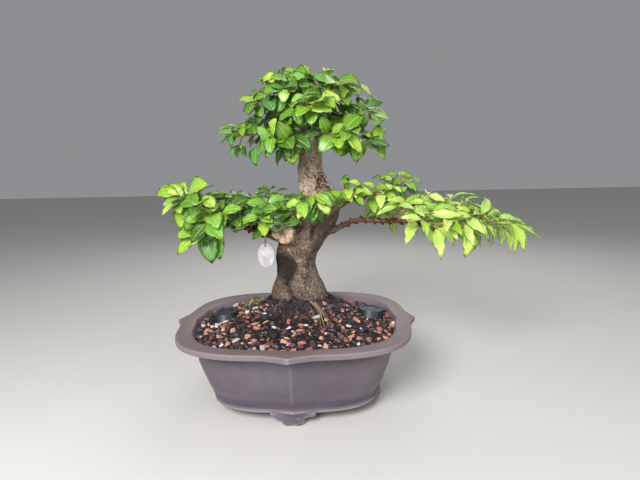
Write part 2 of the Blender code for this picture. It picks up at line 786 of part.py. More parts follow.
def raise_rings(bm, face, rings):
    # pull a face out through further rings, matched to it corner by corner
    corners = list(face.verts)
    picks = [rings[0][k] for k in RING_PICKS[len(rings[0])]]
    middle, centre = mean([corner.co for corner in corners]), mean(picks)
    ahead = centre - middle
    if winding([corner.co for corner in corners], ahead) * winding(picks, ahead) < 0:
        corners.reverse()
    turns = [corners[shift:] + corners[:shift] for shift in range(4)]

    def miss(turn):
        return sum(((corner.co - middle).normalized() - (pick - centre).normalized()).length
                   for corner, pick in zip(turn, picks))

    bm.faces.remove(face)
    rows = [min(turns, key=miss)] + [[bm.verts.new(place) for place in ring] for ring in rings]
    faces = [bridge(bm, low, high) for low, high in zip(rows, rows[1:])]
    if len(rows[-1]) > 2:
        bm.faces.new(rows[-1])
    return faces


def leaf_pair(frame, sides, tip, spray, draw):
    # two opposite leaves: level ones to left and right, the others fanned from above and below
    axis, side, above = frame
    angle = TIP_ANGLE if tip else LEAF_ANGLE
    fan = math.radians(draw.choice((-1, 1)) * FAN_ANGLE + draw.uniform(-14, 14))
    pair = []
    for number in sides:
        hand = 1 if number in (0, 3) else -1
        flat = number in (1, 3)
        out = side if flat else above * math.cos(fan) + side * math.sin(fan)
        spread = math.radians(angle + draw.uniform(-8, 8))
        way = axis * math.cos(spread) + out * hand * math.sin(spread)
        way.z -= 0.1
        length = mm(spray.leaf) * draw.uniform(0.8, 1.16)
        aspect = CROWN_ASPECT if spray.name.startswith("crown") else LEAF_ASPECT
        face = UP + 0.35 * hand * out + Vector((draw.uniform(-0.3, 0.3), draw.uniform(-0.45, 0.15), 0))
        pair.append({
            "side": number, "axis": axis, "way": way.normalized(), "face": face.normalized(),
            "length": length, "width": length * aspect * draw.uniform(0.9, 1.1),
            "droop": LEAF_DROOP * draw.uniform(0.5, 1.5)})
    return pair


def plan_twig(line, thick, thin, pairs, spray, draw, start=None):
    # a short collar at each knot, back from the tip, and each pair turned a quarter from the next
    length = distances(line)[-1]
    knots = [length * (1 - k / (pairs - 0.35)) for k in range(pairs)][::-1]
    knots[-1] = length - COLLAR
    stops = [0.0]
    for knot in knots:
        stops += [knot - COLLAR, knot + COLLAR]
    rings, frames = twig_rings(line, thick, thin, stops, start)
    collars = []
    for number in range(pairs):
        row, back = 1 + 2 * number, pairs - 1 - number
        sides = (1, 3) if back % 2 == 0 else (0, 2)
        leaves = leaf_pair(frames[row], sides, back == 0, spray, draw)
        collars.append({"row": row, "frame": frames[row], "length": length, "leaves": leaves,
                        "level": back % 2 == 0})
    return {"rings": rings, "collars": collars}


def plan_fork(stem, collar, number, spray, draw):
    # a side twig from the free face of a collar, with one pair of leaves at its tip
    axis, side, above = collar["frame"]
    face_side = (1, 3)[(number + len(spray.name)) % 2] if not collar["level"] else 0
    out = {0: above, 1: -side, 3: side}[face_side]
    way = (axis * math.cos(math.radians(FORK_ANGLE)) + out * math.sin(math.radians(FORK_ANGLE))).normalized()
    length = collar["length"] * FORK_LENGTH * draw.uniform(0.9, 1.15)
    ring = stem["rings"][collar["row"]]
    start = sum(ring, Vector()) / 4 + out * (ring[0] - ring[1]).length / 2
    line = [start + way * length * t + UP * length * 0.10 * t * t for t in (0.12, 0.5, 1)]
    fork = plan_twig(line, mm(FORK_RADII[0]), mm(FORK_RADII[1]), 1, spray, draw)
    fork["side"] = face_side
    return fork


def plan_spray(spray, draw):
    # the leafy part of the shoot starts a hair's breadth from the wood that bears it
    whole = spray_line(spray)
    line = resample(whole, bare_length(spray), distances(whole)[-1], 6)
    thick = mm(TWIG_RADII[1])
    start = (line[0] - whole[0]).normalized()
    if spray.share == 1:
        start = bearer_end(spray.bearer)[1]
        thick = bearer_radius(spray.bearer, 1)
    line[0] = line[0] + start * TWIG_GAP
    stem = plan_twig(line, thick * 1.1, mm(TWIG_RADII[2]), spray.pairs, spray, draw, start)
    stem["forks"] = []
    for number in range(spray.forks):
        collar = stem["collars"][max(spray.pairs - 2 - number // 2, 0)]
        stem["forks"].append((collar, plan_fork(stem, collar, number, spray, draw)))
    return stem


def rings_mesh(rings):
    places = [place for ring in rings for place in ring]
    faces = []
    for row in range(len(rings) - 1):
        for i in range(4):
            j = (i + 1) % 4
            faces.append((4 * row + i, 4 * row + j, 4 * row + 4 + j, 4 * row + 4 + i))
    return places, faces


def grow_leaves(bm, collars, segments, crowd):
    # each leaf is bent clear of what stands in its way, or left out
    count = [0, 0]
    for collar in collars:
        quads = segments[collar["row"]]
        for leaf in collar["leaves"]:
            quad = quads[leaf["side"]]
            leaf["root"] = quad.calc_center_median()
            for roll, bend in LEAF_TURNS:
                frame = leaf_frame(leaf, roll, bend)
                shield = leaf_shield(leaf, frame)
                if not crowd.crossed_by(*shield):
                    raise_rings(bm, quad, leaf_rings(leaf, frame))
                    crowd.add(*shield)
                    count[0] += 1
                    break
            else:
                count[1] += 1
    return count


def grow_spray(spray, stem, crowd):
    bm = bmesh.new()
    rows = [[bm.verts.new(place) for place in ring] for ring in stem["rings"]]
    segments = [bridge(bm, low, high) for low, high in zip(rows, rows[1:])]
    bm.faces.new(rows[0])
    bm.faces.new(rows[-1])
    forks = []
    for collar, fork in stem["forks"]:
        quad = segments[collar["row"]][fork["side"]]
        forks.append((fork, raise_rings(bm, quad, fork["rings"])[1:]))
    counts = [grow_leaves(bm, stem["collars"], segments, crowd)]
    for fork, fork_segments in forks:
        counts.append(grow_leaves(bm, fork["collars"], fork_segments, crowd))
    obj = object_from_bmesh("foliage_" + spray.name, bm, PARTS)
    finish(obj, LEAF)
    return [sum(count) for count in zip(*counts)]


def make_sprays(crowd):
    plans = [plan_spray(spray, random.Random(SEED + i)) for i, spray in enumerate(SPRAYS)]
    for plan in plans:
        crowd.add(*rings_mesh(plan["rings"]))
        for collar, fork in plan["forks"]:
            crowd.add(*rings_mesh(fork["rings"]))
    counts = [grow_spray(spray, plan, crowd) for spray, plan in zip(SPRAYS, plans)]
    print("leaves placed and left out", [sum(count) for count in zip(*counts)])


# Training wires

def shoot_angles(wire, line):
    # where side shoots leave the limb, as distance and angle about it
    total = distances(line)
    frames = cross_frames(line)
    shoots = []
    for spray in SPRAYS:
        if spray.bearer == wire.limb and wire.first < spray.share < wire.last:
            distance = spray.share * total[-1]
            nearest = min(range(len(total)), key=lambda i: abs(total[i] - distance))
            ahead, side, above = frames[nearest]
            way = (spray_line(spray)[2] - spray_line(spray)[0]).normalized()
            out = math.hypot(way.dot(side), way.dot(above))
            slip = (bearer_radius(wire.limb, spray.share) + wire.radius) * way.dot(ahead) / out
            shoots.append((distance + slip, math.atan2(way.dot(above), way.dot(side))))
    return sorted(shoots)


def wire_line(wire):
    # a coil that passes each side shoot on its far side
    line = catmull([point(place) for place in next(l for l in LIMBS if l.name == wire.limb).route], 12)
    total = distances(line)
    frames = cross_frames(line)
    begin, end = wire.first * total[-1], wire.last * total[-1]
    marks = [(begin, 0.0)]
    for distance, angle in shoot_angles(wire, line):
        previous, turned = marks[-1]
        wanted = turned + 2 * math.pi * (distance - previous) / wire.pitch
        turns = round((wanted - angle - math.pi) / (2 * math.pi))
        goal = angle + math.pi + 2 * math.pi * turns
        if goal <= turned:
            goal += 2 * math.pi
        marks.append((distance, goal))
    marks.append((end, marks[-1][1] + 2 * math.pi * (end - marks[-1][0]) / wire.pitch))
    places = []
    count = math.ceil(marks[-1][1] / (2 * math.pi) * WIRE_POINTS)
    for i in range(count + 1):
        angle = marks[-1][1] * i / count
        low, high = next((a, b) for a, b in zip(marks, marks[1:]) if angle <= b[1] + 1e-9)
        distance = low[0] + (high[0] - low[0]) * (angle - low[1]) / (high[1] - low[1])
        middle = at_distance(line, total, distance)[0]
        nearest = min(range(len(total)), key=lambda k: abs(total[k] - distance))
        side, above = frames[nearest][1], frames[nearest][2]
        reach = bearer_radius(wire.limb, distance / total[-1]) + wire.radius + GAP + 0.0001
        reach /= math.cos(math.pi / WIRE_POINTS)
        places.append(middle + reach * (side * math.cos(angle) + above * math.sin(angle)))
    return places


def make_wires():
    wires = []
    for wire in WIRES:
        places = wire_line(wire)
        obj = tube(wire.name, places, [wire.radius] * len(places), 0, PARTS)
        wires.append(finish(obj, COPPER))
    return wires


# Feed caps

def cap_matrix(cap):
    return Matrix.Translation((cap.x, cap.y, cap.z)) @ Matrix.Rotation(math.radians(cap.lean), 4, "Y")


def make_cap(cap):
    # a turned shell, open below, with a ring of small holes in its top
    name = "feed_cap_" + cap.name
    bm = bmesh.new()
    inner_top = CAP_HEIGHT - CAP_WALL
    profile = ((0, CAP_HEIGHT), (CAP_TOP_RADIUS - CAP_EDGE, CAP_HEIGHT),
               (CAP_TOP_RADIUS, CAP_HEIGHT - CAP_EDGE), (CAP_BASE_RADIUS, 0), (CAP_BASE_RADIUS - CAP_WALL, 0),
               (CAP_TOP_RADIUS - CAP_WALL, inner_top), (0, inner_top))
    knots = [bm.verts.new((x, 0, z)) for x, z in profile]
    for a, b in zip(knots, knots[1:]):
        bm.edges.new((a, b))
    mesh = bpy.data.meshes.new(name)
    bm.to_mesh(mesh)
    bm.free()
    shell = link_mesh(name, mesh, PARTS)
    screw = shell.modifiers.new("turn", "SCREW")
    screw.steps = screw.render_steps = CAP_SIDES
    screw.use_merge_vertices = True
    screw.merge_threshold = 0.00001
    screw.use_normal_calculate = True
    shell.matrix_local = cap_matrix(cap)
    for i in range(CAP_HOLES):
        angle = 2 * math.pi * (i + 0.3) / CAP_HOLES
        place = (CAP_HOLE_RING * math.cos(angle), CAP_HOLE_RING * math.sin(angle), CAP_HEIGHT)
        hole = cylinder("cap_hole_cutter", CAP_HOLE_RADIUS, 0.005, place, 8, CUTTERS)
        hole.matrix_local = cap_matrix(cap)
        cut(shell, hole)
    cake = cylinder("feed_cake_" + cap.name, CAKE_RADIUS, CAKE_HEIGHT, (0, 0, CAKE_HEIGHT / 2), 12, PARTS)
    cake.matrix_local = cap_matrix(cap)
    finish(shell, PLASTIC, 40)
    return finish(cake, CAKE, 40)


# Tag

def tag_hang():
    line = bearer_line("left")
    total = distances(line)
    return at_distance(line, total, TAG_SHARE * total[-1])[0]


def make_tag():
    hang = tag_hang()
    hole_height = hang.z - TAG_DROP
    bm = bmesh.new()
    middle = Vector((hang.x, hang.y, hole_height + TAG_HOLE_DROP - TAG_HIGH / 2))
    lay = Matrix.Translation(middle) @ Matrix.Rotation(math.pi / 2, 4, "X") @ Matrix.Diagonal(
        (TAG_WIDE, TAG_HIGH, 1, 1))
    bmesh.ops.create_cone(
        bm, cap_ends=True, segments=20, radius1=0.5, radius2=0.5, depth=TAG_THICK, matrix=lay)
    tag = object_from_bmesh("tag", bm, PARTS)
    hole = cylinder("tag_hole_cutter", TAG_HOLE, 0.006, (0, 0, 0), 10, CUTTERS)
    upright = Matrix.Rotation(math.pi / 2, 4, "X")
    hole.matrix_local = Matrix.Translation((hang.x, hang.y, hole_height)) @ upright
    cut(tag, hole)
    finish(tag, TAG_WHITE)

    # the ring lies over the coiled limb and closes through the tag's hole
    wire = next(wire for wire in WIRES if wire.limb == "left")
    over = bearer_radius("left", TAG_SHARE) + 2 * wire.radius + 2 * GAP + TAG_WIRE + TAG_SLACK
    low = TAG_DROP - TAG_HOLE + TAG_WIRE + GAP
    ring = []
    for i in range(TAG_WIRE_SIDES):
        angle = 2 * math.pi * i / TAG_WIRE_SIDES
        drop = over if math.sin(angle) > -0.1 else low
        narrow = 1 if math.sin(angle) > -0.1 else 0.9
        ring.append(hang + Vector((0, over * narrow * math.cos(angle), drop * math.sin(angle))))
    return finish(tube("tag_wire", ring, [TAG_WIRE] * TAG_WIRE_SIDES, 0, PARTS, cyclic=True), STEEL)


clear_scene()
PARTS = make_collection(COLLECTION)
CUTTERS = make_collection("cutters")
BASE = bpy.data.objects.new("bonsai_base", None)
BASE.location = POT_PLACE
PARTS.objects.link(BASE)

make_pot()
make_mesh("drainage_mesh_left", -1)
make_mesh("drainage_mesh_right", 1)
make_soil()
crowd_of_pieces = Crowd()
crowd_of_pieces.add_mesh(make_tree().data)
for coil in make_wires():
    crowd_of_pieces.add_mesh(coil.data)
for feed_cap in CAPS:
    make_cap(feed_cap)
crowd_of_pieces.add_mesh(make_tag().data)
make_sprays(crowd_of_pieces)
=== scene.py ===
# Privet bonsai in a lobed clay pot: its finished look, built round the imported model.
# Lengths are metres. Places on the tree are written in millimetres from the middle
# of the pot's footprint, and pass through point().

import json
import random
from collections import namedtuple
from functools import partial
from math import atan2, ceil, copysign, cos, exp, hypot, pi, radians, sin

import bmesh
import bpy
from mathutils import Matrix, Vector, noise
from mathutils.bvhtree import BVHTree

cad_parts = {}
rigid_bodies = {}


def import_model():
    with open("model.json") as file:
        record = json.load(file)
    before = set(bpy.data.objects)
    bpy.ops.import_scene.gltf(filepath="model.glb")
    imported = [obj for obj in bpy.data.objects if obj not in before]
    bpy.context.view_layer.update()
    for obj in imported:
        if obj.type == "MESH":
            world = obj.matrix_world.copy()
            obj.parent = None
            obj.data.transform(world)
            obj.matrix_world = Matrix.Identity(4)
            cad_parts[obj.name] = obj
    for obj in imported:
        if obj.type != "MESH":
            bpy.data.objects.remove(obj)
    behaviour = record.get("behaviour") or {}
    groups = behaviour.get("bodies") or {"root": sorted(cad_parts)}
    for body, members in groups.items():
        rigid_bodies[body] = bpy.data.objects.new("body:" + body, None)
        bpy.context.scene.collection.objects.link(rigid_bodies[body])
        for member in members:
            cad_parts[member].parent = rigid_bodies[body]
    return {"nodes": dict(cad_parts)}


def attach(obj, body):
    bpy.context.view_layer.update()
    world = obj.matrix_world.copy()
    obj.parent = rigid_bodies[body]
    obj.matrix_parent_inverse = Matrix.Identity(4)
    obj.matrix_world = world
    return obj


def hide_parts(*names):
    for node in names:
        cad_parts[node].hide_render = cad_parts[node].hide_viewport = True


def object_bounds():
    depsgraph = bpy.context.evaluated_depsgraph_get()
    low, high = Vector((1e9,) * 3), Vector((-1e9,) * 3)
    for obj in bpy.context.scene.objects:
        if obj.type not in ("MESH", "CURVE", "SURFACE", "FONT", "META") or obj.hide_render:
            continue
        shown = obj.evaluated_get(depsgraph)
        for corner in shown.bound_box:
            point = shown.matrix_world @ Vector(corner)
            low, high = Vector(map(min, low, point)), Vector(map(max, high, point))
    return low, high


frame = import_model()
cadNodes = frame["nodes"]
cadBox = [Vector(corner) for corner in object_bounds()]
print("frame loaded,", len(cadNodes), "nodes")

potPlace = Vector((-0.0698, -0.0047, 0))   # middle of the pot's footprint
up = Vector((0, 0, 1))


# Small helpers

def mm(value):
    return value / 1000


def point(place):
    return potPlace + Vector(place) / 1000


def clamp(value, most=1):
    return min(max(value, 0), most)


def hexColour(code):
    # sRGB hex to the linear values that a shader reads
    parts = [int(code[i:i + 2], 16) / 255 for i in (1, 3, 5)]
    linear = [part / 12.92 if part <= 0.04045 else ((part + 0.055) / 1.055) ** 2.4 for part in parts]
    return (*linear, 1.0)


def socketOf(sockets, name=None):
    # the live socket of that name or number, or else the first live one
    if isinstance(name, int):
        return sockets[name]
    return next(socket for socket in sockets if socket.enabled and name in (None, socket.name))


def setInputs(node, values):
    # a node or a socket is linked, a hex colour is turned to linear, and the rest are plain values
    for name, value in values.items():
        socket = socketOf(node.inputs, name)
        if isinstance(value, bpy.types.Node):
            value = socketOf(value.outputs)
        if isinstance(value, bpy.types.NodeSocket):
            node.id_data.links.new(value, socket)
        else:
            socket.default_value = hexColour(value) if str(value).startswith("#") else value


def addNode(tree, kind, values=None, stops=(), **settings):
    # a shader node is named without its prefix, and stops are a colour ramp's places and colours
    node = tree.nodes.new(kind if "Node" in kind else "ShaderNode" + kind)
    for name, value in settings.items():
        setattr(node, name, value)
    while stops and len(node.color_ramp.elements) < len(stops):
        node.color_ramp.elements.new(1.0)
    for element, (place, colour) in zip(node.color_ramp.elements if stops else (), stops):
        element.position, element.color = place, hexColour(colour)
    setInputs(node, values or {})
    return node


def newMaterial(name):
    # the material, its shader, what adds a node to it, and the place on the object
    material = bpy.data.materials.new(name)
    material.use_nodes = True
    material.node_tree.nodes.clear()
    add = partial(addNode, material.node_tree)
    shader = add("BsdfPrincipled")
    add("OutputMaterial", {"Surface": shader})
    return material, shader, add, add("TexCoord").outputs["Object"]


def mottledMaterial(name, grain, stops, bump=None, **finish):
    # colours that follow one noise, with relief of that strength and height
    material, shader, add, place = newMaterial(name)
    scale, detail, rough = grain
    spots = add("TexNoise", {"Vector": place, "Scale": scale, "Detail": detail, "Roughness": rough})
    setInputs(shader, {"Base Color": add("ValToRGB", {"Fac": spots}, stops)})
    for label, value in finish.items():
        if isinstance(value, tuple):   # from dull to bright spots
            value = add("MapRange", {"Value": spots, "To Min": value[0], "To Max": value[1]})
        setInputs(shader, {label: value})
    if bump:
        setInputs(shader, {"Normal": add("Bump", {"Height": spots, "Strength": bump[0], "Distance": bump[1]})})
    return material


def linkObject(name, data):
    obj = bpy.data.objects.new(name, data)
    bpy.context.scene.collection.objects.link(obj)
    return obj


def meshObject(name, places, faces=(), edges=()):
    mesh = bpy.data.meshes.new(name)
    mesh.from_pydata([tuple(place) for place in places], list(edges), [tuple(face) for face in faces])
    return linkObject(name, mesh)


def bmeshObject(name, bm, merge=0.0):
    if merge:
        bmesh.ops.remove_doubles(bm, verts=bm.verts, dist=merge)
    bmesh.ops.recalc_face_normals(bm, faces=bm.faces)
    mesh = bpy.data.meshes.new(name)
    bm.to_mesh(mesh)
    bm.free()
    return linkObject(name, mesh)


def setAttribute(mesh, name, values, kind="FLOAT"):
    # one value for each vertex
    layer = mesh.attributes.new(name, kind, "POINT")
    if kind == "FLOAT_VECTOR":
        layer.data.foreach_set("vector", [part for value in values for part in value])
    else:
        layer.data.foreach_set("value", list(values))


def bakeModifiers(obj):
    # the evaluated shape becomes the plain mesh
    mesh = bpy.data.meshes.new_from_object(obj.evaluated_get(bpy.context.evaluated_depsgraph_get()))
    obj.modifiers.clear()
    obj.data = mesh
    return obj


def newTree(name, *inputs):
    # a geometry tree with named inputs, what adds a node to it, and its inputs' sockets
    tree = bpy.data.node_groups.new(name, "GeometryNodeTree")
    for label, kind in (("Geometry", "Geometry"), *inputs):
        tree.interface.new_socket(name=label, in_out="INPUT", socket_type="NodeSocket" + kind)
    tree.interface.new_socket(name="Geometry", in_out="OUTPUT", socket_type="NodeSocketGeometry")
    return tree, partial(addNode, tree), addNode(tree, "NodeGroupInput").outputs


def endTree(tree, geometry, given):
    # real geometry in the given material
    plain = addNode(tree, "GeometryNodeRealizeInstances", {"Geometry": geometry})
    painted = addNode(tree, "GeometryNodeSetMaterial", {"Geometry": plain, "Material": given["Material"]})
    addNode(tree, "NodeGroupOutput", {"Geometry": painted})
    return tree


def growTree(obj, tree, values):
    # run a geometry tree on the object and keep the plain mesh that it makes
    modifier = obj.modifiers.new(tree.name, "NODES")
    modifier.node_group = tree
    for item in tree.interface.items_tree:
        if item.item_type == "SOCKET" and item.in_out == "INPUT" and item.name in values:
            modifier[item.identifier] = values[item.name]
    return bakeModifiers(obj)


def finishPiece(obj, replaced=(), material=None, smoothAngle=None):
    if material:
        obj.data.materials.clear()
        obj.data.materials.append(material)
    if smoothAngle:
        obj.data.shade_smooth()
        obj.data.set_sharp_from_angle(angle=radians(smoothAngle))
    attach(obj, "root")
    if replaced:
        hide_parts(*replaced)
    print("made", obj.name, len(obj.data.polygons), "faces")


# Curves and rings

def catmull(places, steps):
    # smooth curve through the places, with a number of steps between two of them
    ends = [2 * places[0] - places[1]] + list(places) + [2 * places[-1] - places[-2]]
    line = []
    for a, b, c, d in zip(ends, ends[1:], ends[2:], ends[3:]):
        for i in range(steps):
            t = i / steps
            line.append(0.5 * (2 * b + (c - a) * t + (2 * a - 5 * b + 4 * c - d) * t ** 2
                               + (3 * b - a - 3 * c + d) * t ** 3))
    return line + [places[-1].copy()]


def distances(line):
    total = [0.0]
    for a, b in zip(line, line[1:]):
        total.append(total[-1] + (b - a).length)
    return total


def atDistance(line, distance):
    total = distances(line)
    i = next((i for i in range(1, len(total)) if total[i] >= distance), len(total) - 1)
    return line[i - 1].lerp(line[i], (distance - total[i - 1]) / (total[i] - total[i - 1]))


def nearestStep(line, distance):
    total = distances(line)
    return min(range(len(total)), key=lambda i: abs(total[i] - distance))


def resample(line, start, end, steps):
    return [atDistance(line, start + (end - start) * i / steps) for i in range(steps + 1)]


def nearestOn(spot, route):
    # the nearest place on a line, in a plane or in space
    best = None
    for a, b in zip(route, route[1:]):
        along = b - a
        place = a + along * clamp((spot - a).dot(along) / along.length_squared)
        if best is None or (spot - place).length < (spot - best).length:
            best = place
    return best


def crossFrames(line, start=None):
    # forward, sideways and upward directions carried along the line without twist
    frames = []
    side = None
    for i in range(len(line)):
        ahead = (line[min(i + 1, len(line) - 1)] - line[max(i - 1, 0)]).normalized()
        ahead = start if start and i == 0 else ahead
        side = up.cross(ahead) if side is None else side - side.dot(ahead) * ahead
        side = side.normalized() if side.length >= 0.05 else Vector((1, 0, 0))
        frames.append((ahead, side, ahead.cross(side)))
    return frames


def circle(middle, side, above, radius, count, start=0.0):
    angles = [start + 2 * pi * i / count for i in range(count)]
    return [middle + radius * (side * cos(angle) + above * sin(angle)) for angle in angles]


def tubeRings(line, radii, sides):
    return [circle(place, side, above, radius, sides)
            for place, radius, (ahead, side, above) in zip(line, radii, crossFrames(line))]


def loftRings(bm, rings, ends="capped"):
    # the ends are capped, open or joined to each other
    rows = [[bm.verts.new(place) for place in ring] for ring in rings]
    for low, high in zip(rows, rows[1:] + (rows[:1] if ends == "joined" else [])):
        for i in range(len(low)):
            j = (i + 1) % len(low)
            bm.faces.new((low[i], low[j], high[j], high[i]))
    if ends == "capped":
        bm.faces.new(rows[0])
        bm.faces.new(rows[-1])


def boreHoles(obj, places, radius, depth, sides):
    drills = []
    for place in places:
        bm = bmesh.new()
        bmesh.ops.create_cone(bm, cap_ends=True, segments=sides, radius1=radius, radius2=radius, depth=depth,
                              matrix=place)
        drills.append(bmeshObject("drill", bm))
        hole = obj.modifiers.new("hole", "BOOLEAN")
        hole.operation = "DIFFERENCE"
        hole.object = drills[-1]
    bakeModifiers(obj)
    for drill in drills:
        bpy.data.objects.remove(drill, do_unlink=True)


def tubeTree():
    # turns edges that carry a radius into round tubes
    tree, add, given = newTree("tubesAlongPaths", ("Profile Sides", "Int"), ("Material", "Material"))
    radius = add("GeometryNodeInputNamedAttribute", {"Name": "pathRadius"}, data_type="FLOAT")
    curve = add("GeometryNodeMeshToCurve", {"Mesh": given["Geometry"]})
    profile = add("GeometryNodeCurvePrimitiveCircle", {"Radius": 1.0, "Resolution": given["Profile Sides"]},
                  mode="RADIUS")
    tube = add("GeometryNodeCurveToMesh", {"Curve": curve, "Profile Curve": profile, "Scale": radius,
                                           "Fill Caps": True})
    return endTree(tree, add("GeometryNodeSetShadeSmooth", {"Geometry": tube}), given)


tubes = tubeTree()


def makeTubes(name, paths, sides, material, closed=False, tints=None):
    # paths are places and radii
    places, radii, edges, shades = [], [], [], []
    for number, (line, thick) in enumerate(paths):
        first = len(places)
        places += line
        radii += thick
        shades += [tints[number] if tints else 0.0] * len(line)
        edges += [(i, i + 1) for i in range(first, len(places) - 1)]
        if closed:
            edges.append((len(places) - 1, first))
    obj = meshObject(name, places, edges=edges)
    setAttribute(obj.data, "pathRadius", radii)
    setAttribute(obj.data, "pathTint", shades)
    return growTree(obj, tubes, {"Profile Sides": sides, "Material": material})


# Camera, where the photograph was taken from, with the frame taken as 640 x 480,
# and the stage: a plain pale floor and soft studio light

cameraValues = {"place": (48.5, -616.4, 298.1), "focalPixels": 503, "sensor": 36,
                "yaw": 1.48, "pitch": 9.04, "roll": 1.20}   # degrees to the left of +Y, down and clockwise
stageValues = {
    "floor": "#c9c7c3", "floorHalf": 4.0, "world": "#e6e8ec", "worldStrength": 0.34, "aim": (0, 0, 200),
    "lights": (("keyLight", (-300, -1020, 760), 0.55, 24.0),   # name, place, size and power
               ("fillLight", (860, -860, 420), 1.0, 5.0), ("backLight", (200, 860, 900), 1.0, 5.0)),
}


def makeCamera():
    values = cameraValues
    yaw, pitch, roll = (radians(values[name]) for name in ("yaw", "pitch", "roll"))
    ahead = Vector((-sin(yaw) * cos(pitch), cos(yaw) * cos(pitch), -sin(pitch)))
    right = ahead.cross(up).normalized()
    above = right.cross(ahead)
    lens = bpy.data.cameras.new("camera")
    lens.sensor_width = values["sensor"]
    lens.lens = values["focalPixels"] * values["sensor"] / 640
    lens.clip_start = 0.01
    camera = linkObject("camera", lens)
    turn = Matrix((right * cos(roll) - above * sin(roll), right * sin(roll) + above * cos(roll), -ahead))
    camera.matrix_world = Matrix.Translation(point(values["place"])) @ turn.transposed().to_4x4()
    bpy.context.scene.camera = camera


def makeStage():
    values = stageValues
    material, shader, add, place = newMaterial("studioFloorPaint")
    setInputs(shader, {"Base Color": values["floor"], "Roughness": 0.85})
    half = values["floorHalf"]
    floor = meshObject("floor", [(-half, -half, 0), (half, -half, 0), (half, half, 0), (-half, half, 0)],
                       [(0, 1, 2, 3)])
    floor.data.materials.append(material)
    bpy.context.scene.view_settings.view_transform = "Standard"
    world = bpy.context.scene.world = bpy.data.worlds.new("studio")
    world.use_nodes = True
    setInputs(world.node_tree.nodes["Background"], {"Color": values["world"], "Strength": values["worldStrength"]})
    for name, place, size, power in values["lights"]:
        light = bpy.data.lights.new(name, "AREA")
        light.shape, light.size, light.energy = "DISK", size, power
        lamp = linkObject(name, light)
        lamp.location = point(place)
        lamp.rotation_euler = (point(values["aim"]) - lamp.location).to_track_quat("-Z", "Y").to_euler()


makeCamera()
makeStage()
print("camera and stage made")


# Pot: outline with a cusp on each side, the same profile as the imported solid, in finer steps

potValues = {
    "height": 0.1005,
    "rimHalfWidth": 0.141, "rimHalfDepth": 0.1265, "rimPower": 3.2, "rimCusp": 0.0095,
    "rimFlat": 0.0175, "rimRound": 0.0015, "lipDepth": 0.0065, "lipRoot": 0.004,
    "bodyHalfWidth": 0.1223, "bodyHalfDepth": 0.1038, "bodyTaper": 0.0198, "bodyCusp": 0.004,
    "bodyPower": 3.0, "taperPower": 1.35, "lipCove": 0.008, "coveStart": 0.86,
    "footHeight": 0.014, "skirtFlare": 0.0025, "bodyStart": 0.085, "bodyEnd": 0.985,
    "wall": 0.0085, "floorTop": 0.0235, "soilEdge": 0.0935, "cuspSpan": 0.032,
    "quarterSteps": 36, "bodySteps": 16,
    "footOutline": ((0.0, 0.0), (9.0, 0.0), (12.5, 3.0), (14.5, 8.0), (19.5, 10.5), (25.0, 11.5), (26.5, 16.0)),
    "footThickness": 0.013, "footInset": 0.011,
    "drainOffset": 0.055, "drainRadius": 0.009, "drainDepth": 0.03,
    # the scrolls on a foot: size and middle of the curl, and the route of its wing, in millimetres
    "curl": 4.2, "curlMiddle": (6.6, 6.2), "wing": ((24.0, 13.6), (20.0, 12.2), (15.5, 10.6), (11.5, 9.6)),
    "ridge": (1.6, 4.5, 8.5, 13.0),
}


def lobedRing(halfWidth, halfDepth, power, cusp, height):
    ring = []
    steps = potValues["quarterSteps"]
    span = potValues["cuspSpan"]
    for i in range(4 * steps):
        u = (i % steps) / steps
        angle = pi / 2 * (i // steps + u - 0.6 * sin(2 * pi * u) / (2 * pi))   # closer steps at the cusps
        across, along = cos(angle), sin(angle)
        reach = (abs(across / halfWidth) ** power + abs(along / halfDepth) ** power) ** (-1 / power)
        x, y = reach * across, reach * along
        if abs(y) < span:
            x += copysign(cusp * (1 - abs(y) / span) ** 1.5, x)
        elif abs(x) < span:
            y += copysign(cusp * (1 - abs(x) / span) ** 1.5, y)
        ring.append(potPlace + Vector((x, y, height)))
    return ring


def bodyRing(height, inset=0.0):
    values = potValues
    rise = (height - values["footHeight"]) / (values["height"] - values["lipDepth"] - values["footHeight"])
    narrow = values["bodyTaper"] * (1 - sin(pi / 2 * clamp(rise)) ** values["taperPower"])
    narrow -= values["lipCove"] * (max(min(rise, 1) - values["coveStart"], 0) / (1 - values["coveStart"])) ** 2
    return lobedRing(values["bodyHalfWidth"] - narrow - inset, values["bodyHalfDepth"] - narrow - inset,
                     values["bodyPower"], values["bodyCusp"], height)


def rimRing(inset, height):
    values = potValues
    cusp = values["rimCusp"] if inset < values["rimFlat"] / 2 else values["bodyCusp"]
    return lobedRing(values["rimHalfWidth"] - inset, values["rimHalfDepth"] - inset, values["rimPower"],
                     cusp, height)


def potRings():
    values = potValues
    foot, top, flare, edge = values["footHeight"], values["height"], values["skirtFlare"], values["rimRound"]
    lip = top - values["lipDepth"]
    rings = [bodyRing(foot + lift, inset) for lift, inset in (
        (0, 0.0015), (0.0006, 0.0004), (0.0016, 0), (0.0030, 0.2 * flare), (0.0044, 0.8 * flare), (0.0056, flare))]
    for i in range(1, values["bodySteps"] + 1):
        share = values["bodyStart"] + (values["bodyEnd"] - values["bodyStart"]) * i / values["bodySteps"]
        rings.append(bodyRing(foot + share * (lip - foot), flare * max(1 - 1.5 * i / 4, 0)))
    rings += [rimRing(inset, height) for inset, height in (
        (values["lipRoot"], lip), (0.6 * edge, lip + 0.05 * edge), (0.12 * edge, lip + 0.4 * edge),
        (0.0, lip + edge), (0.0, top - edge), (0.12 * edge, top - 0.4 * edge), (0.6 * edge, top - 0.05 * edge),
        (1.4 * edge, top), (values["rimFlat"] - 0.0015, top), (values["rimFlat"], top - 0.0006))]
    return rings + [bodyRing(height, values["wall"]) for height in
                    (values["soilEdge"] + 0.002, 0.060, values["floorTop"])]


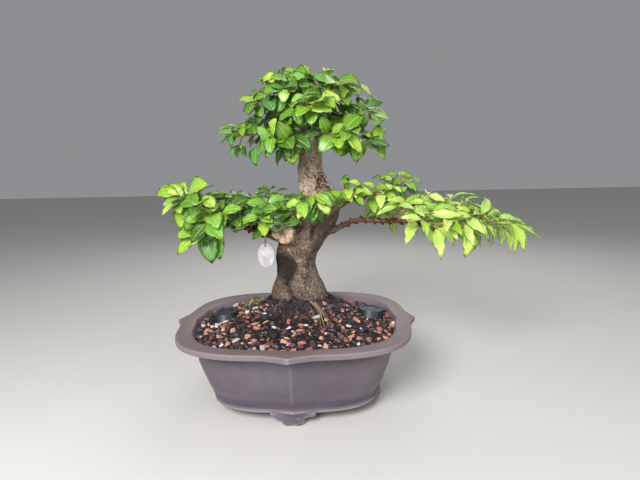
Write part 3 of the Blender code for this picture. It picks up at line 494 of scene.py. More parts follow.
def footPlace(turn):
    # how a foot is turned, and how far out its front stands
    values = potValues
    reach = (values["bodyHalfWidth"] if turn % 180 else values["bodyHalfDepth"]) - values["bodyTaper"]
    return Matrix.Rotation(radians(turn), 4, "Z"), values["footInset"] - values["footThickness"] - reach


def footMesh(bm, turn):
    # a bracket with a smooth outline, its front edges rounded over
    half = catmull([Vector((x, 0, z)) / 1000 for x, z in potValues["footOutline"]], 4)
    outline = half + [Vector((-place.x, 0, place.z)) for place in reversed(half[1:])]
    middle = Vector((0, 0, 0.009))
    rotate, front = footPlace(turn)
    rings = []
    for back, shrink in ((0.0, 0.0022), (0.0006, 0.0008), (0.0018, 0.0), (potValues["footThickness"], 0.0)):
        ring = []
        for place in outline:
            inward = (middle - place).normalized() * shrink
            inward.z = inward.z if place.z > 0.0002 else 0
            ring.append(potPlace + rotate @ (place + inward + Vector((0, front + back, 0))))
        rings.append(ring)
    loftRings(bm, rings)


def scrollPaths():
    # a pair of curled clouds in low relief on each foot, with a ridge between them
    values = potValues
    size, (across, high) = mm(values["curl"]), values["curlMiddle"]
    paths = []
    for turn in (0, 90, 180, 270):
        rotate, front = footPlace(turn)
        lines = []
        for side in (-1, 1):
            curl = []
            for i in range(24):
                angle = 0.45 * pi + 2.2 * pi * i / 23
                here = size * (1 - 0.74 * i / 23)
                curl.append(Vector((side * (mm(across) + here * cos(angle)), 0.0003, mm(high) - here * sin(angle))))
            line = catmull([Vector((side * mm(x), 0.0006, mm(z))) for x, z in values["wing"]], 4)[:-1] + curl
            last = len(line) - 1
            lines.append((line, [mm(0.5 + sin(pi * (0.06 + 0.80 * i / last)) ** 0.7) for i in range(last + 1)]))
        ridge = catmull([Vector((0, 0.0006, mm(z))) for z in values["ridge"]], 4)
        lines.append((ridge, [mm(0.9 + 0.7 * sin(pi * (0.1 + 0.8 * i / 12))) for i in range(13)]))
        paths += [([potPlace + rotate @ (spot + Vector((0, front, 0))) for spot in line], radii)
                  for line, radii in lines]
    return paths


def clayMaterial(name, edgeWearAndHighlight):
    # Unglazed stoneware, thrown or pressed and fired: fine matte grain, soft cloudy colour from the
    # kiln, browner on the flat lip, and paler on sharp edges, partly rubbed wear and partly a painted highlight
    material, shader, add, place = newMaterial(name)
    cloud = add("TexNoise", {"Vector": place, "Scale": 14.0, "Detail": 5.0, "Roughness": 0.6})
    grain = add("TexNoise", {"Vector": place, "Scale": 900.0, "Detail": 3.0, "Roughness": 0.7})
    side = add("ValToRGB", {"Fac": cloud}, ((0.28, "#473f47"), (0.5, "#534b55"), (0.72, "#605963")))
    shape = add("NewGeometry").outputs
    facing = add("SeparateXYZ", {"Vector": shape["Normal"]}).outputs["Z"]
    flat = add("MapRange", {"Value": facing, "From Min": 0.6, "From Max": 0.95})
    base = add("Mix", {"Factor": flat, "A": side, "B": "#655454"}, data_type="RGBA")
    speck = add("ValToRGB", {"Fac": grain}, ((0.30, "#4d4347"), (0.5, "#ffffff"), (0.68, "#ffffff")))
    mixed = add("Mix", {"Factor": 0.35, "A": base, "B": speck}, data_type="RGBA", blend_type="MULTIPLY")
    # sharp edges paler: rubbed wear together with a painted highlight
    sharpEdge = add("ValToRGB", {"Fac": shape["Pointiness"]}, ((0.50, "#000000"), (0.56, "#ffffff")))
    edgeWornAndLit = add("Mix", {"Factor": sharpEdge, "A": mixed, "B": edgeWearAndHighlight}, data_type="RGBA")
    rough = add("MapRange", {"Value": cloud, "To Min": 0.42, "To Max": 0.66})
    bump = add("Bump", {"Height": grain, "Strength": 0.25, "Distance": 0.0004})
    setInputs(shader, {"Base Color": edgeWornAndLit, "Roughness": rough, "Normal": bump})
    return material


def makePot():
    bm = bmesh.new()
    loftRings(bm, potRings())
    pot = bmeshObject("clayPot", bm)
    feet = bpy.data.collections.new("feet")
    bpy.context.scene.collection.children.link(feet)
    for turn in (0, 90, 180, 270):
        bm = bmesh.new()
        footMesh(bm, turn)
        foot = bmeshObject("foot", bm, 0.00001)
        bpy.context.scene.collection.objects.unlink(foot)
        feet.objects.link(foot)
    union = pot.modifiers.new("feet", "BOOLEAN")
    union.operation, union.operand_type, union.collection, union.solver = "UNION", "COLLECTION", feet, "EXACT"
    drains = [Matrix.Translation(potPlace + Vector((side * potValues["drainOffset"], 0, 0.018))) for side in (-1, 1)]
    boreHoles(pot, drains, potValues["drainRadius"], potValues["drainDepth"], 40)
    for foot in list(feet.objects):
        bpy.data.objects.remove(foot, do_unlink=True)
    bpy.data.collections.remove(feet)
    finishPiece(pot, ("pot",), clayMaterial("unglazedStoneware", "#827579"), 35)
    finishPiece(makeTubes("footScrolls", scrollPaths(), 8, clayMaterial("pressedStoneware", "#59505a")))


makePot()


# Tree: the same trunk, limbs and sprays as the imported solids

Station = namedtuple("Station", "x y z wide deep")
trunkStations = [Station(*row) for row in (
    (5, 25, 80, 33, 29), (5, 25, 114, 35, 30), (5, 25, 122, 34, 29), (4, 25, 133, 32, 27.5), (2, 24, 147, 28, 25),
    (0, 23, 163, 25, 23), (1, 22, 178, 26, 24), (8, 21, 193, 28.5, 25), (16, 20, 208, 30, 25),
    (24, 19, 223, 30.5, 25), (29, 18, 238, 28, 24), (31, 17, 250, 23.5, 22), (28, 16, 262, 20, 19),
    (25, 15, 270, 18.5, 18), (23, 15, 278, 17, 16.5), (21, 15, 290, 15, 15), (22, 15, 303, 13.5, 13.5),
    (22, 14, 317, 11.5, 11.5), (20, 13, 333, 9, 9), (17, 12, 352, 6.2, 6.2), (14, 11, 368, 4.2, 4.2),
    (11, 10, 381, 2.6, 2.6))]
Limb = namedtuple("Limb", "route thick thin")
limbs = {
    "left": Limb(((9, 18, 196), (-10, 8, 201), (-24, 2, 206), (-37, -1, 211), (-52, -3, 216),
                  (-68, -3, 220), (-83, -1, 225), (-93, 0, 228)), 8.5, 2.4),
    "right": Limb(((30, 18, 205), (46, 13, 209), (58, 10, 215), (70, 7, 221), (84, 4, 224),
                   (108, 3, 222), (136, 1, 221), (158, 1, 218), (181, 3, 217), (202, 5, 219)), 4.0, 1.8),
    "upper": Limb(((33, 17, 230), (48, 17, 236), (60, 19, 241), (73, 21, 248), (90, 23, 252),
                   (104, 23, 255), (116, 23, 258)), 3.8, 1.8),
    "back": Limb(((18, 20, 220), (8, 38, 226), (-3, 56, 231), (-13, 74, 234)), 6.5, 2.0),
}
# share is the place along what bears it, azimuth is in degrees, reach, rise and leaf in millimetres
Spray = namedtuple("Spray", "name bearer share azimuth reach rise pairs forks leaf")
sprays = [Spray(*row) for row in (
    ("left_tip", "left", 1.00, 188, 38, 24, 3, 2, 31), ("left_front", "left", 0.70, 236, 54, 20, 3, 1, 30),
    ("left_rear", "left", 0.60, 122, 70, 20, 3, 2, 29), ("left_upper", "left", 0.50, 176, 20, 32, 2, 1, 27),
    ("left_low", "left", 0.85, 230, 38, -6, 2, 1, 32), ("left_inner", "left", 0.30, 250, 46, 30, 3, 1, 27),
    ("front_inner", "trunk", 0.47, 268, 64, 22, 2, 1, 27),
    ("right_tip", "right", 1.00, 2, 55, -4, 4, 2, 35), ("right_front", "right", 0.62, 306, 55, -2, 3, 1, 33),
    ("right_rear", "right", 0.72, 50, 68, 12, 3, 2, 32), ("right_mid", "right", 0.52, 318, 40, 20, 2, 1, 30),
    ("right_back", "right", 0.42, 66, 56, 14, 3, 1, 30), ("right_outer", "right", 0.82, 312, 48, 4, 3, 1, 34),
    ("right_side", "right", 0.90, 42, 44, 10, 2, 1, 33),
    ("upper_tip", "upper", 1.00, 350, 22, 10, 2, 1, 29), ("upper_front", "upper", 0.52, 250, 40, 12, 2, 1, 27),
    ("upper_rear", "upper", 0.76, 46, 54, 6, 3, 1, 28), ("upper_mid", "upper", 0.68, 302, 38, 4, 2, 1, 28),
    ("back_tip", "back", 1.00, 122, 50, 6, 3, 1, 28), ("back_side", "back", 0.62, 70, 56, 8, 3, 1, 28),
    ("crown_west", "trunk", 0.775, 194, 84, 8, 4, 1, 24), ("crown_east", "trunk", 0.790, 346, 72, -8, 4, 1, 28),
    ("crown_south", "trunk", 0.785, 243, 62, -4, 3, 1, 28),
    ("crown_southeast", "trunk", 0.800, 304, 64, -4, 3, 1, 29),
    ("crown_north", "trunk", 0.780, 84, 66, 4, 3, 1, 27), ("crown_northwest", "trunk", 0.815, 130, 72, 12, 3, 1, 27),
    ("crown_northeast", "trunk", 0.825, 42, 72, 12, 3, 1, 28), ("crown_right", "trunk", 0.835, 352, 72, 12, 3, 1, 29),
    ("crown_left", "trunk", 0.840, 184, 58, 24, 3, 1, 26), ("crown_front", "trunk", 0.860, 276, 54, 14, 3, 1, 29),
    ("crown_shoulder", "trunk", 0.885, 340, 52, 34, 3, 1, 27), ("crown_rear", "trunk", 0.890, 100, 50, 24, 3, 1, 27),
    ("crown_brow", "trunk", 0.915, 240, 38, 24, 2, 1, 26),
    ("crown_peak_left", "trunk", 0.930, 186, 34, 28, 2, 1, 24),
    ("crown_peak_right", "trunk", 0.955, 25, 26, 22, 2, 1, 25), ("crown_tip", "trunk", 1.00, 250, 6, 21, 2, 0, 20))]
sprayValues = {
    "seed": 4173, "arch": 0.07, "sway": 0.035, "steps": 10, "bareTwig": 0.009, "twigGap": 0.0004,
    "twigRadii": (2.1, 1.5, 0.9), "forkRadii": (1.1, 0.8), "forkAngle": 42, "forkLength": 0.46,
    "collar": 0.0006,
}


def bearerLine(name):
    if name == "trunk":
        return [point(station[:3]) for station in trunkStations[1:]]
    return catmull([point(place) for place in limbs[name].route], 3)


def bearerWay(name):
    # where the trunk or a limb points at its end
    if name == "trunk":
        return up
    line = bearerLine(name)
    places = resample(line, 0, distances(line)[-1], len(limbs[name].route) + 1)
    return (places[-1] - places[-2]).normalized()


def bearerRadius(name, share):
    if name == "trunk":
        total = distances(bearerLine(name))
        nearest = next(i for i in range(1, len(total)) if total[i] >= share * total[-1] - 1e-9)
        return mm(trunkStations[nearest + 1].wide)
    limb = limbs[name]
    return mm(limb.thin + (limb.thick - limb.thin) * (1 - share) ** 1.4)


def sprayLine(spray):
    values = sprayValues
    line = bearerLine(spray.bearer)
    start = atDistance(line, spray.share * distances(line)[-1])
    heading = Vector((cos(radians(spray.azimuth)), sin(radians(spray.azimuth)), 0))
    side = up.cross(heading)
    reach, rise = mm(spray.reach), mm(spray.rise)
    length = hypot(reach, rise)
    places = []
    for i in range(values["steps"] + 1):
        t = i / values["steps"]
        places.append(start + heading * reach * t + up * (rise * t + values["arch"] * length * sin(pi * t))
                      + side * values["sway"] * length * sin(2 * pi * t))
    return places


def bareLength(spray):
    return 0.0 if spray.share == 1 else bearerRadius(spray.bearer, spray.share) + sprayValues["bareTwig"]


# Bark: the whole woody tree as one skin, with its seams, scar and cut stub

barkValues = {
    "sides": 72, "ringSteps": 5, "voxel": 0.0011,
    "buttress": 0.14, "buttressFade": 0.150, "burls": (0.035, 0.025),
    "scarHeight": 0.272, "scarAzimuth": -25, "scarDepth": 0.34, "scarSpread": 0.42, "scarTall": 0.008,
    "stubRoute": ((8, 16, 198), (-3, 3, 205), (-11, -6, 210)), "stubRadii": (15.5, 13.5, 12.5),
    # creases on the front, as x and height, with their width and depth, each darkened as painted shade; the third is a
    # raised ridge, lightened as a painted highlight
    "seams": (
        (((-3, 178), (2, 166), (-2, 159), (-7, 155), (-14, 146)), 2.2, 2.4),
        (((-17, 148), (-10, 141), (-6, 134), (-2, 127), (1, 119)), 2.8, 5.2),
        (((-12, 204), (-9, 196), (-4, 182), (3, 173), (10, 175)), 1.8, -0.9),
        (((18, 289), (23, 283), (29, 278), (32, 272)), 0.9, 1.5),
        (((16, 283), (19, 279), (25, 276)), 0.8, 1.0), (((30, 226), (25, 214), (22, 203)), 3.4, 0.9)),
    # swellings and hollows, as place, half width and half height, and how far they stand out
    "swellings": (
        ((-16, -1, 131), 10, 10, 5.0), ((19, -5, 138), 17, 17, 5.0), ((8, -5, 156), 10, 8, 2.0),
        ((36, 10, 128), 13, 14, 2.5), ((3, -3, 186), 9, 12, 1.8), ((18, -4, 178), 10, 14, 1.2),
        ((-15, 0, 163), 16, 19, -6.5), ((32, 0, 160), 8, 14, -1.4), ((31, 0, 264), 4.5, 4.5, -4.0),
        ((36, 2, 272), 4.5, 7.5, -4.5), ((10, 0, 262), 8, 10, 1.2), ((3, 10, 288), 3.5, 4.5, 2.6),
        ((-20, 48, 126), 15, 14, 3.5), ((26, 50, 130), 16, 16, 3.5), ((4, 48, 168), 14, 18, -2.5),
        ((16, 44, 205), 15, 15, 2.5), ((-28, 24, 128), 12, 13, 2.5), ((44, 22, 236), 9, 10, 1.8)),
    # the shaded left flank under the stub, as place, half width and half height
    "flank": ((-19, 8, 166), 23, 17),
    # torn wood beside the scar
    "spikes": (((32, 8, 281), (39, 3, 279), (44, 0, 275)), ((35, 8, 276), (43, 4, 273), (49, 2, 268)),
               ((36, 8, 270), (45, 6, 267), (51, 5, 263)), ((30, 6, 286), (35, 2, 285), (39, -1, 283)),
               ((27, 4, 262), (30, -3, 261), (32, -6, 262))),
    "grainDepth": 0.00055, "furrowDepth": 0.0009, "lumpDepth": 0.0012,
    # the stem's middle and reach, the height below which all is stem, and the fade to limb
    "stem": (0.018, 0.018), "stemReach": 0.036, "stemBelow": 0.192, "stemFade": 0.008,
    "torn": (0.040, 0.272), "tornReach": 0.0135, "cutReach": 0.0138, "cutDepth": 0.0055, "cutFade": 0.005,
    # where the painted shade just over the soil ends and fades, and where the upper trunk's painted light starts and
    # fades
    "soilShadeBelow": 0.1255, "soilShadeFade": 0.006, "upperLightFrom": 0.225, "upperLightFade": 0.045,
    "tones": ("scarTone", "cutTone", "seamTone", "limbTone", "shadeTone", "riseTone", "fleckTone"),
}


def trunkSection(station):
    values = barkValues
    ring = []
    height = mm(station.z)
    flare = values["buttress"] * clamp((values["buttressFade"] - height) / 0.03)
    burl = clamp((height - 0.114) / 0.004)
    for i in range(values["sides"]):
        angle = 2 * pi * i / values["sides"]
        swell = 1 + flare * (0.5 * cos(2 * angle) + 0.5 * cos(3 * angle + 0.8))
        swell += burl * values["burls"][0] * sin(3 * angle + height * 90)
        swell += burl * values["burls"][1] * sin(5 * angle - height * 60)
        turn = (angle - radians(values["scarAzimuth"]) + pi) % (2 * pi) - pi
        away = (turn / values["scarSpread"]) ** 2 + ((height - values["scarHeight"]) / values["scarTall"]) ** 2
        swell -= values["scarDepth"] * exp(-away)
        wide, deep = mm(station.wide) * swell, mm(station.deep) * swell
        ring.append(point(station[:3]) + Vector((wide * cos(angle), deep * sin(angle), 0)))
    return ring


def woodSkin():
    # trunk, limbs, stub, torn wood and bare twigs, run together
    values = barkValues
    bm = bmesh.new()
    rows = catmull([Vector(station[:3]) for station in trunkStations], values["ringSteps"])
    sizes = catmull([Vector((station.wide, station.deep, 0)) for station in trunkStations], values["ringSteps"])
    loftRings(bm, [trunkSection(Station(*place, size.x, size.y)) for place, size in zip(rows, sizes)])
    for name in limbs:
        line = bearerLine(name)
        total = distances(line)
        loftRings(bm, tubeRings(line, [bearerRadius(name, distance / total[-1]) for distance in total], 20))
    stub = [point(place) for place in values["stubRoute"]]
    loftRings(bm, tubeRings(stub, [mm(radius) for radius in values["stubRadii"]], 32))
    for route in values["spikes"]:
        line = catmull([point(place) for place in route], 4)
        loftRings(bm, tubeRings(line, [mm(2.6 - 1.9 * i / 8) for i in range(9)], 8))
    for spray in sprays:
        if spray.share < 1:
            thick, thin = sprayValues["twigRadii"][:2]
            loftRings(bm, tubeRings(resample(sprayLine(spray), 0, bareLength(spray), 4),
                                    [mm(thick + (thin - thick) * i / 4) for i in range(5)], 12))
    bark = bmeshObject("barkSkin", bm)
    remesh = bark.modifiers.new("skin", "REMESH")
    remesh.mode, remesh.voxel_size = "VOXEL", values["voxel"]
    relax = bark.modifiers.new("relax", "SMOOTH")
    relax.factor, relax.iterations = 0.5, 3
    return bakeModifiers(bark)


def bulge(here, place, wide, tall):
    # squared distance from a place, in its half widths and half heights
    away = here - Vector(place) / 1000
    return (hypot(away.x, away.y) / mm(wide)) ** 2 + (away.z / mm(tall)) ** 2


def carveBark(bark):
    # relief along the normals, and the tones that the material reads
    values = barkValues
    stub = [point(place) for place in values["stubRoute"]]
    stubWay = (stub[-1] - stub[-2]).normalized()
    seams = [([Vector(place) / 1000 for place in route], mm(wide), mm(deep)) for route, wide, deep in values["seams"]]
    rows = []
    moved = []
    for vert in bark.data.vertices:
        spot, out = vert.co, vert.normal
        here, cell = spot - potPlace, spot * 1000
        front = clamp(0.25 - 1.6 * out.y) * (1.0 if here.y < 0.026 else 0.0)
        away = hypot(here.x - values["stem"][0], here.y - values["stem"][1])
        stem = max(1 - clamp((away - values["stemReach"]) / values["stemFade"]),
                   clamp((values["stemBelow"] - here.z) / values["stemFade"]))
        furrow = noise.fractal(Vector((cell.x / 9, cell.y / 9, cell.z / 26)), 0.8, 2.1, 3)
        grain = noise.noise(cell / 2.3) + 0.6 * noise.noise(cell / 1.2)
        lump = noise.noise(cell / 17)
        lift = (values["furrowDepth"] * furrow + values["grainDepth"] * grain) * (0.35 + 0.65 * stem)
        lift += values["lumpDepth"] * lump * stem
        creaseShade = ridge = shade = swellHighlight = hollow = 0.0
        if front and here.z > 0.11:
            flat = Vector((here.x, here.z))
            for route, wide, deep in seams:
                near = exp(-((flat - nearestOn(flat, route)).length / wide) ** 2) * front
                near *= 0.75 + 0.5 * noise.noise(cell / 7)
                lift -= deep * near
                # creases take painted shade, the raised ridge a painted highlight
                creaseShade, ridge = (max(creaseShade, near), ridge) if deep > 0 else (creaseShade, max(ridge, near))
        for place, wide, tall, stand in values["swellings"] if stem else ():
            size = bulge(here, place, wide, tall)
            if size < 5:
                near = exp(-size ** (1.7 if stand < -3 else 1))   # hollows have steeper walls
                lift += mm(stand) * near
                if stand < -3.9 and wide < 6:
                    hollow = max(hollow, near)
                elif stand < -3:
                    shade = max(shade, near)
                # painted highlight: the raised swellings get denser pale lenticels
                elif stand > 2:
                    swellHighlight = max(swellHighlight, near)
        shade = max(shade, exp(-bulge(here, *values["flank"]) ** 2) * 0.9)
        torn = hypot(here.x - values["torn"][0], here.z - values["torn"][1]) < values["tornReach"]
        torn = torn and here.x > 0.029 and here.y < 0.020
        past = (spot - stub[-1]).dot(stubWay)
        cut = clamp((past + values["cutDepth"] + 0.003 * noise.noise(cell / 4.5)) / values["cutFade"])
        cut *= (spot - stub[-1] - past * stubWay).length < values["cutReach"]
        moved.append(spot + out * lift * (1 - 0.3 * cut))
        # painted shade just over the soil
        soilShade = (values["soilShadeBelow"] - here.z) / values["soilShadeFade"] + 0.6 * grain   # dark just over the soil
        # tones: scar, cut wood with the ridge's painted highlight, painted shade in the creases, limb, painted shade
        # in hollows, on the flank and over the soil, painted light on the upper trunk, and lenticels as a painted
        # highlight on the swellings
        rows.append((
            min(hollow * 1.6 + (0.55 if torn else 0.0), 1), max(cut, (0.3 + 0.3 * noise.noise(cell / 5)) * ridge),
            min(creaseShade * 1.25, 1), 1 - stem, clamp(max(shade * 1.5 - 0.05 + 0.15 * lump, soilShade), 0.94),
            clamp((here.z - values["upperLightFrom"]) / values["upperLightFade"] + 0.3 * lump), swellHighlight))
    bark.data.vertices.foreach_set("co", [part for spot in moved for part in spot])
    for name, amounts in zip(values["tones"], zip(*rows)):
        setAttribute(bark.data, name, amounts)
    bark.data.update()
    return bark


def barkMaterial():
    # Privet bark: thin, grey brown and close, rough with pale lenticels 1 to 2 mm long, most of them
    # on the swollen foot, denser on its swellings as a painted highlight; painted shade in the creases,
    # hollows and just over the soil, the upper trunk paler as painted light, torn brown wood in the scar,
    # pale wood on the cut and a painted highlight on the raised ridge
    material, shader, add, place = newMaterial("privetBark")
    tones = {name: add("Attribute", attribute_name=name).outputs["Fac"] for name in barkValues["tones"]}
    patch = add("TexNoise", {"Vector": place, "Scale": 60.0, "Detail": 6.0, "Roughness": 0.6})
    low = add("ValToRGB", {"Fac": patch}, ((0.30, "#56463a"), (0.5, "#6e5e54"), (0.72, "#87776b")))
    # painted light: the upper trunk takes the paler ramp
    high = add("ValToRGB", {"Fac": patch}, ((0.30, "#9c8874"), (0.5, "#c0ae9c"), (0.72, "#d8cabb")))
    base = add("Mix", {"Factor": tones["riseTone"], "A": low, "B": high}, data_type="RGBA")
    limbed = add("Mix", {"Factor": tones["limbTone"], "A": base, "B": "#6d4a35"}, data_type="RGBA")
    # close mottling of bark plates, 2 to 3 mm
    plate = add("TexNoise", {"Vector": place, "Scale": 380.0, "Detail": 5.0, "Roughness": 0.7})
    plates = add("ValToRGB", {"Fac": plate}, ((0.36, "#55483c"), (0.50, "#c6beb6"), (0.62, "#ffffff")))
    mottled = add("Mix", {"Factor": 0.9, "A": limbed, "B": plates}, data_type="RGBA", blend_type="MULTIPLY")
    shaded = add("Mix", {"Factor": tones["shadeTone"], "A": mottled, "B": "#6a5b4d"}, data_type="RGBA",
                 blend_type="MULTIPLY")
    # lenticels, about 3 mm apart, fewer in the painted shade, and denser on the swellings as a painted highlight
    dots = add("TexVoronoi", {"Vector": place, "Scale": 410.0, "Randomness": 1.0}, feature="F1")
    dotted = add("MapRange", {"Value": dots, "From Min": 0.14, "From Max": 0.44, "To Min": 1.0, "To Max": 0.0})
    spread = add("TexNoise", {"Vector": place, "Scale": 170.0, "Detail": 3.0})
    many = add("Math", {0: tones["fleckTone"], 1: 0.20, 2: spread}, operation="MULTIPLY_ADD")
    some = add("MapRange", {"Value": many, "From Min": 0.46, "From Max": 0.66, "To Max": 0.75})
    seen = add("Math", {0: 1.0, 1: tones["shadeTone"]}, operation="SUBTRACT")
    dense = add("Math", {0: some, 1: seen}, operation="MULTIPLY")
    flecks = add("Math", {0: dotted, 1: dense}, operation="MULTIPLY")
    colour = add("Mix", {"Factor": flecks, "A": shaded, "B": "#b7a799"}, data_type="RGBA")
    wood = add("ValToRGB", {"Fac": plate}, ((0.38, "#241511"), (0.5, "#5f4035"), (0.62, "#9a8072")))
    # pale sawn wood on the cut, and the same colour as a painted highlight on the raised ridge
    sawn = add("ValToRGB", {"Fac": spread}, ((0.3, "#a0754f"), (0.46, "#c6a486"), (0.62, "#ead9cb")))
    # painted shade in the creases, torn wood in the scar, pale wood on the cut and ridge
    for tone, shade in (("seamTone", "#241a12"), ("scarTone", wood), ("cutTone", sawn)):
        colour = add("Mix", {"Factor": tones[tone], "A": colour, "B": shade}, data_type="RGBA")
    height = add("Math", {0: flecks, 1: 0.7, 2: plate}, operation="MULTIPLY_ADD")
    bump = add("Bump", {"Height": height, "Strength": 0.8, "Distance": 0.0008})
    setInputs(shader, {"Base Color": colour, "Roughness": 0.8, "Specular IOR Level": 0.35, "Normal": bump})
    return material


finishPiece(carveBark(woodSkin()), ("trunk",), barkMaterial(), 60)


# Leaves: a few forms with different droop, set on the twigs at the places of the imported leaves

leafValues = {
    "aspect": 0.56, "crownAspect": 0.70, "widen": {"left": 1.15, "right": 0.62, "upper": 0.88},
    "lengthen": {"right": 1.12, "left_low": 1.18, "left_tip": 1.12},
    "angle": 56, "tipAngle": 42, "fanAngle": 28, "droop": 0.75, "fold": 0.16,
    "leanOut": 0.8, "leanReach": 24.0, "toLight": (-0.1, -0.5, 0.1),
    "sag": {"front_inner": 0.9, "left_inner": 0.5, "upper_front": 0.4, "right_tip": 0.4, "right_outer": 0.4,
            "right_front": 0.4, "right_mid": 0.3, "left_low": 0.3}, "usualSag": 0.14,
    "shieldRows": (0.30, 0.33, 0.5, 0.68, 0.85, 1.0), "blade": 0.0006, "clearance": (0.0003, 0.0),   # packed, added
    "turns": ((0, 0), (16, 0), (-16, 0), (30, 0), (-30, 0), (0, 14), (0, -14), (44, 0), (-44, 0),
              (30, 16), (-30, 16), (24, -16), (-24, -16), (62, 0), (-62, 0), (0, 34), (0, -34)),
    "rows": (0.0, 0.07, 0.16, 0.30, 0.46, 0.64, 0.82, 1.0), "columns": (-1.0, -0.55, 0.0, 0.55, 1.0),
    "thickness": 0.013, "petiole": 0.07, "petioleWidth": 0.075,   # shares of the length and width
    "droops": (0.40, 0.65, 0.90, 1.15), "sickles": (-0.10, 0.07, 0.12, -0.06), "waves": (0.020, 0.036, 0.027),
    "kinds": ((0.74, 0.72), (0.75, 0.86), (0.78, 1.02)),   # shape powers, from rounded to pointed
    "tints": ((0.0, "#1c3508"), (0.2, "#33590d"), (0.42, "#578218"), (0.62, "#83a72f"), (0.82, "#a9c452"),
              (1.0, "#c4d27e")),
}
extraValues = {
    "seed": 911, "spacing": 5.0,   # millimetres of stem for each further side shoot
    "fill": {"crown": 1.45, "left": 1.25, "right": 0.8, "upper": 0.9, "back": 0.8, "trunk": 1.5},
    "drift": {"front_inner": (-0.55, -0.1, -0.8), "left_inner": (0.55, -0.1, -0.25), "crown_east": (1.0, 0, 0),
              "crown_right": (1.0, 0, 0.1), "crown_southeast": (0.5, -0.1, -0.1)},
    # no added leaf before the scar, the cut stub and the left coil: opposite corners of each space
    "clearOf": (((20, -80, 255), (56, 12, 306)), ((-26, -80, 184), (4, -4, 216)), ((-66, -80, 198), (-22, -4, 224))),
    "length": (7.0, 20.0), "radii": (0.75, 0.5),   # of a shoot, in millimetres
    "leafShare": {"crown": (0.70, 1.08), "left": (0.75, 1.2), "right": (0.7, 1.2), "upper": (0.45, 0.8),
                  "back": (0.6, 1.0), "trunk": (0.8, 1.1)},
    "youngChance": 0.4, "youngShare": 0.38,   # a young pair at a shoot's tip
    "sag": {"crown": (0.1, 0.9), "left": (-0.1, 0.6), "right": (-0.1, 0.5), "upper": (-0.1, 0.5), "back": (0, 0.5),
            "trunk": (0.1, 0.9)},
}
# a leaf's tint: its tone by group and age with a random spread, plus painted light that makes outer leaves, and higher
# and right-hand crown leaves, lighter
tintValues = {
    "seed": 77, "group": {"left": 0.38, "right": 0.75, "upper": 0.50, "back": 0.42, "trunk": 0.41, "crown": 0.33},
    "spread": 0.14, "most": 0.86, "outer": 0.26, "young": 0.18, "height": 2.2, "lighterToRight": 0.9, "leftTip": 0.22,
}


def groupOf(spray):
    return "crown" if spray.name.startswith("crown") else spray.bearer


def bladePlace(t, s, leaf, rise=0.0):
    turn = leaf["droop"] * t
    half = leaf["width"] / 2 * (sin(pi * t ** 0.8) ** 0.9 if 0 < t < 1 else 0.0) * s
    lift = abs(half) * leafValues["fold"] * 2 + rise
    return Vector((leaf["length"] * sin(turn) / leaf["droop"] + lift * sin(turn), half,
                   lift * cos(turn) - leaf["length"] * (1 - cos(turn)) / leaf["droop"]))


def leafFrame(leaf, roll, bend):
    # x along the leaf and z out of its upper face, rolled about the twig and bent from it
    way = Matrix.Rotation(radians(bend), 3, leaf["axis"].cross(leaf["way"]).normalized()) @ leaf["way"]
    forward = (Matrix.Rotation(radians(roll), 3, leaf["axis"]) @ way).normalized()
    face = leaf["face"] - leaf["face"].dot(forward) * forward
    if face.length < 0.2:
        face = leaf["axis"] - leaf["axis"].dot(forward) * forward
    face.normalize()
    turn = Matrix((forward, face.cross(forward), face)).transposed().to_4x4()
    return Matrix.Translation(leaf["root"]) @ turn


def sleeveFaces(rings, sides):
    return [(sides * row + i, sides * row + (i + 1) % sides, sides * row + sides + (i + 1) % sides,
             sides * row + sides + i) for row in range(rings - 1) for i in range(sides)]


def leafShield(leaf, turned, grow):
    # a slightly larger closed blade that starts just past its root, for the crossing test
    rows = leafValues["shieldRows"]
    half = leafValues["blade"] / 2 + grow

    def ring(t):
        spots = []
        for s, rise in ((-1, half), (0, half), (1, half), (1, -half), (0, -half), (-1, -half)):
            spot = bladePlace(t, s, leaf, rise)
            spot.y += s * grow
            spots.append(turned @ spot)
        return spots

    places = [leaf["root"].lerp(spot, rows[0]) for spot in ring(rows[1])]
    for t in rows[1:]:
        places += ring(t)
    return places, sleeveFaces(len(rows), 6) + [tuple(range(6)), tuple(range(len(places) - 6, len(places)))]


crowd = []   # what a new leaf must not cross, as middle, radius and search tree


def ballOf(places):
    low = Vector([min(place[k] for place in places) for k in range(3)])
    high = Vector([max(place[k] for place in places) for k in range(3)])
    return (low + high) / 2, (high - low).length / 2


def addToCrowd(places, faces):
    crowd.append((*ballOf(places), BVHTree.FromPolygons(places, faces)))


def crossesCrowd(places, faces):
    middle, radius = ballOf(places)
    shield = BVHTree.FromPolygons(places, faces)
    return any((middle - other).length < radius + size and tree.overlap(shield) for other, size, tree in crowd)


def hidesBark(places):
    for corners in extraValues["clearOf"]:
        low, high = [point(corner) for corner in corners]
        if any(all(low[k] < place[k] < high[k] for k in range(3)) for place in places):
            return True
    return False


def leafPair(turned, sides, tip, spray, draw):
    # two opposite leaves: level ones to left and right, the others fanned from above and below
    values = leafValues
    axis, side, above = turned
    fan = radians(draw.choice((-1, 1)) * values["fanAngle"] + draw.uniform(-14, 14))
    aspect = values["crownAspect"] if groupOf(spray) == "crown" else values["aspect"]
    aspect *= values["widen"].get(spray.bearer, 1.0)
    pair = []
    for number in sides:
        hand = 1 if number in (0, 3) else -1
        out = side if number in (1, 3) else above * cos(fan) + side * sin(fan)
        spread = radians(values["tipAngle" if tip else "angle"] + draw.uniform(-8, 8))
        way = axis * cos(spread) + out * hand * sin(spread)
        length = mm(spray.leaf) * draw.uniform(0.8, 1.16)
        length *= values["lengthen"].get(spray.bearer, values["lengthen"].get(spray.name, 1.0))
        face = up + 0.35 * hand * out + Vector((draw.uniform(-0.3, 0.3), draw.uniform(-0.45, 0.15), 0))
        pair.append({"side": number, "axis": axis, "way": way.normalized(), "face": face.normalized(),
                     "length": length, "width": length * aspect * draw.uniform(0.9, 1.1),
                     "droop": values["droop"] * draw.uniform(0.5, 1.5)})
    return pair


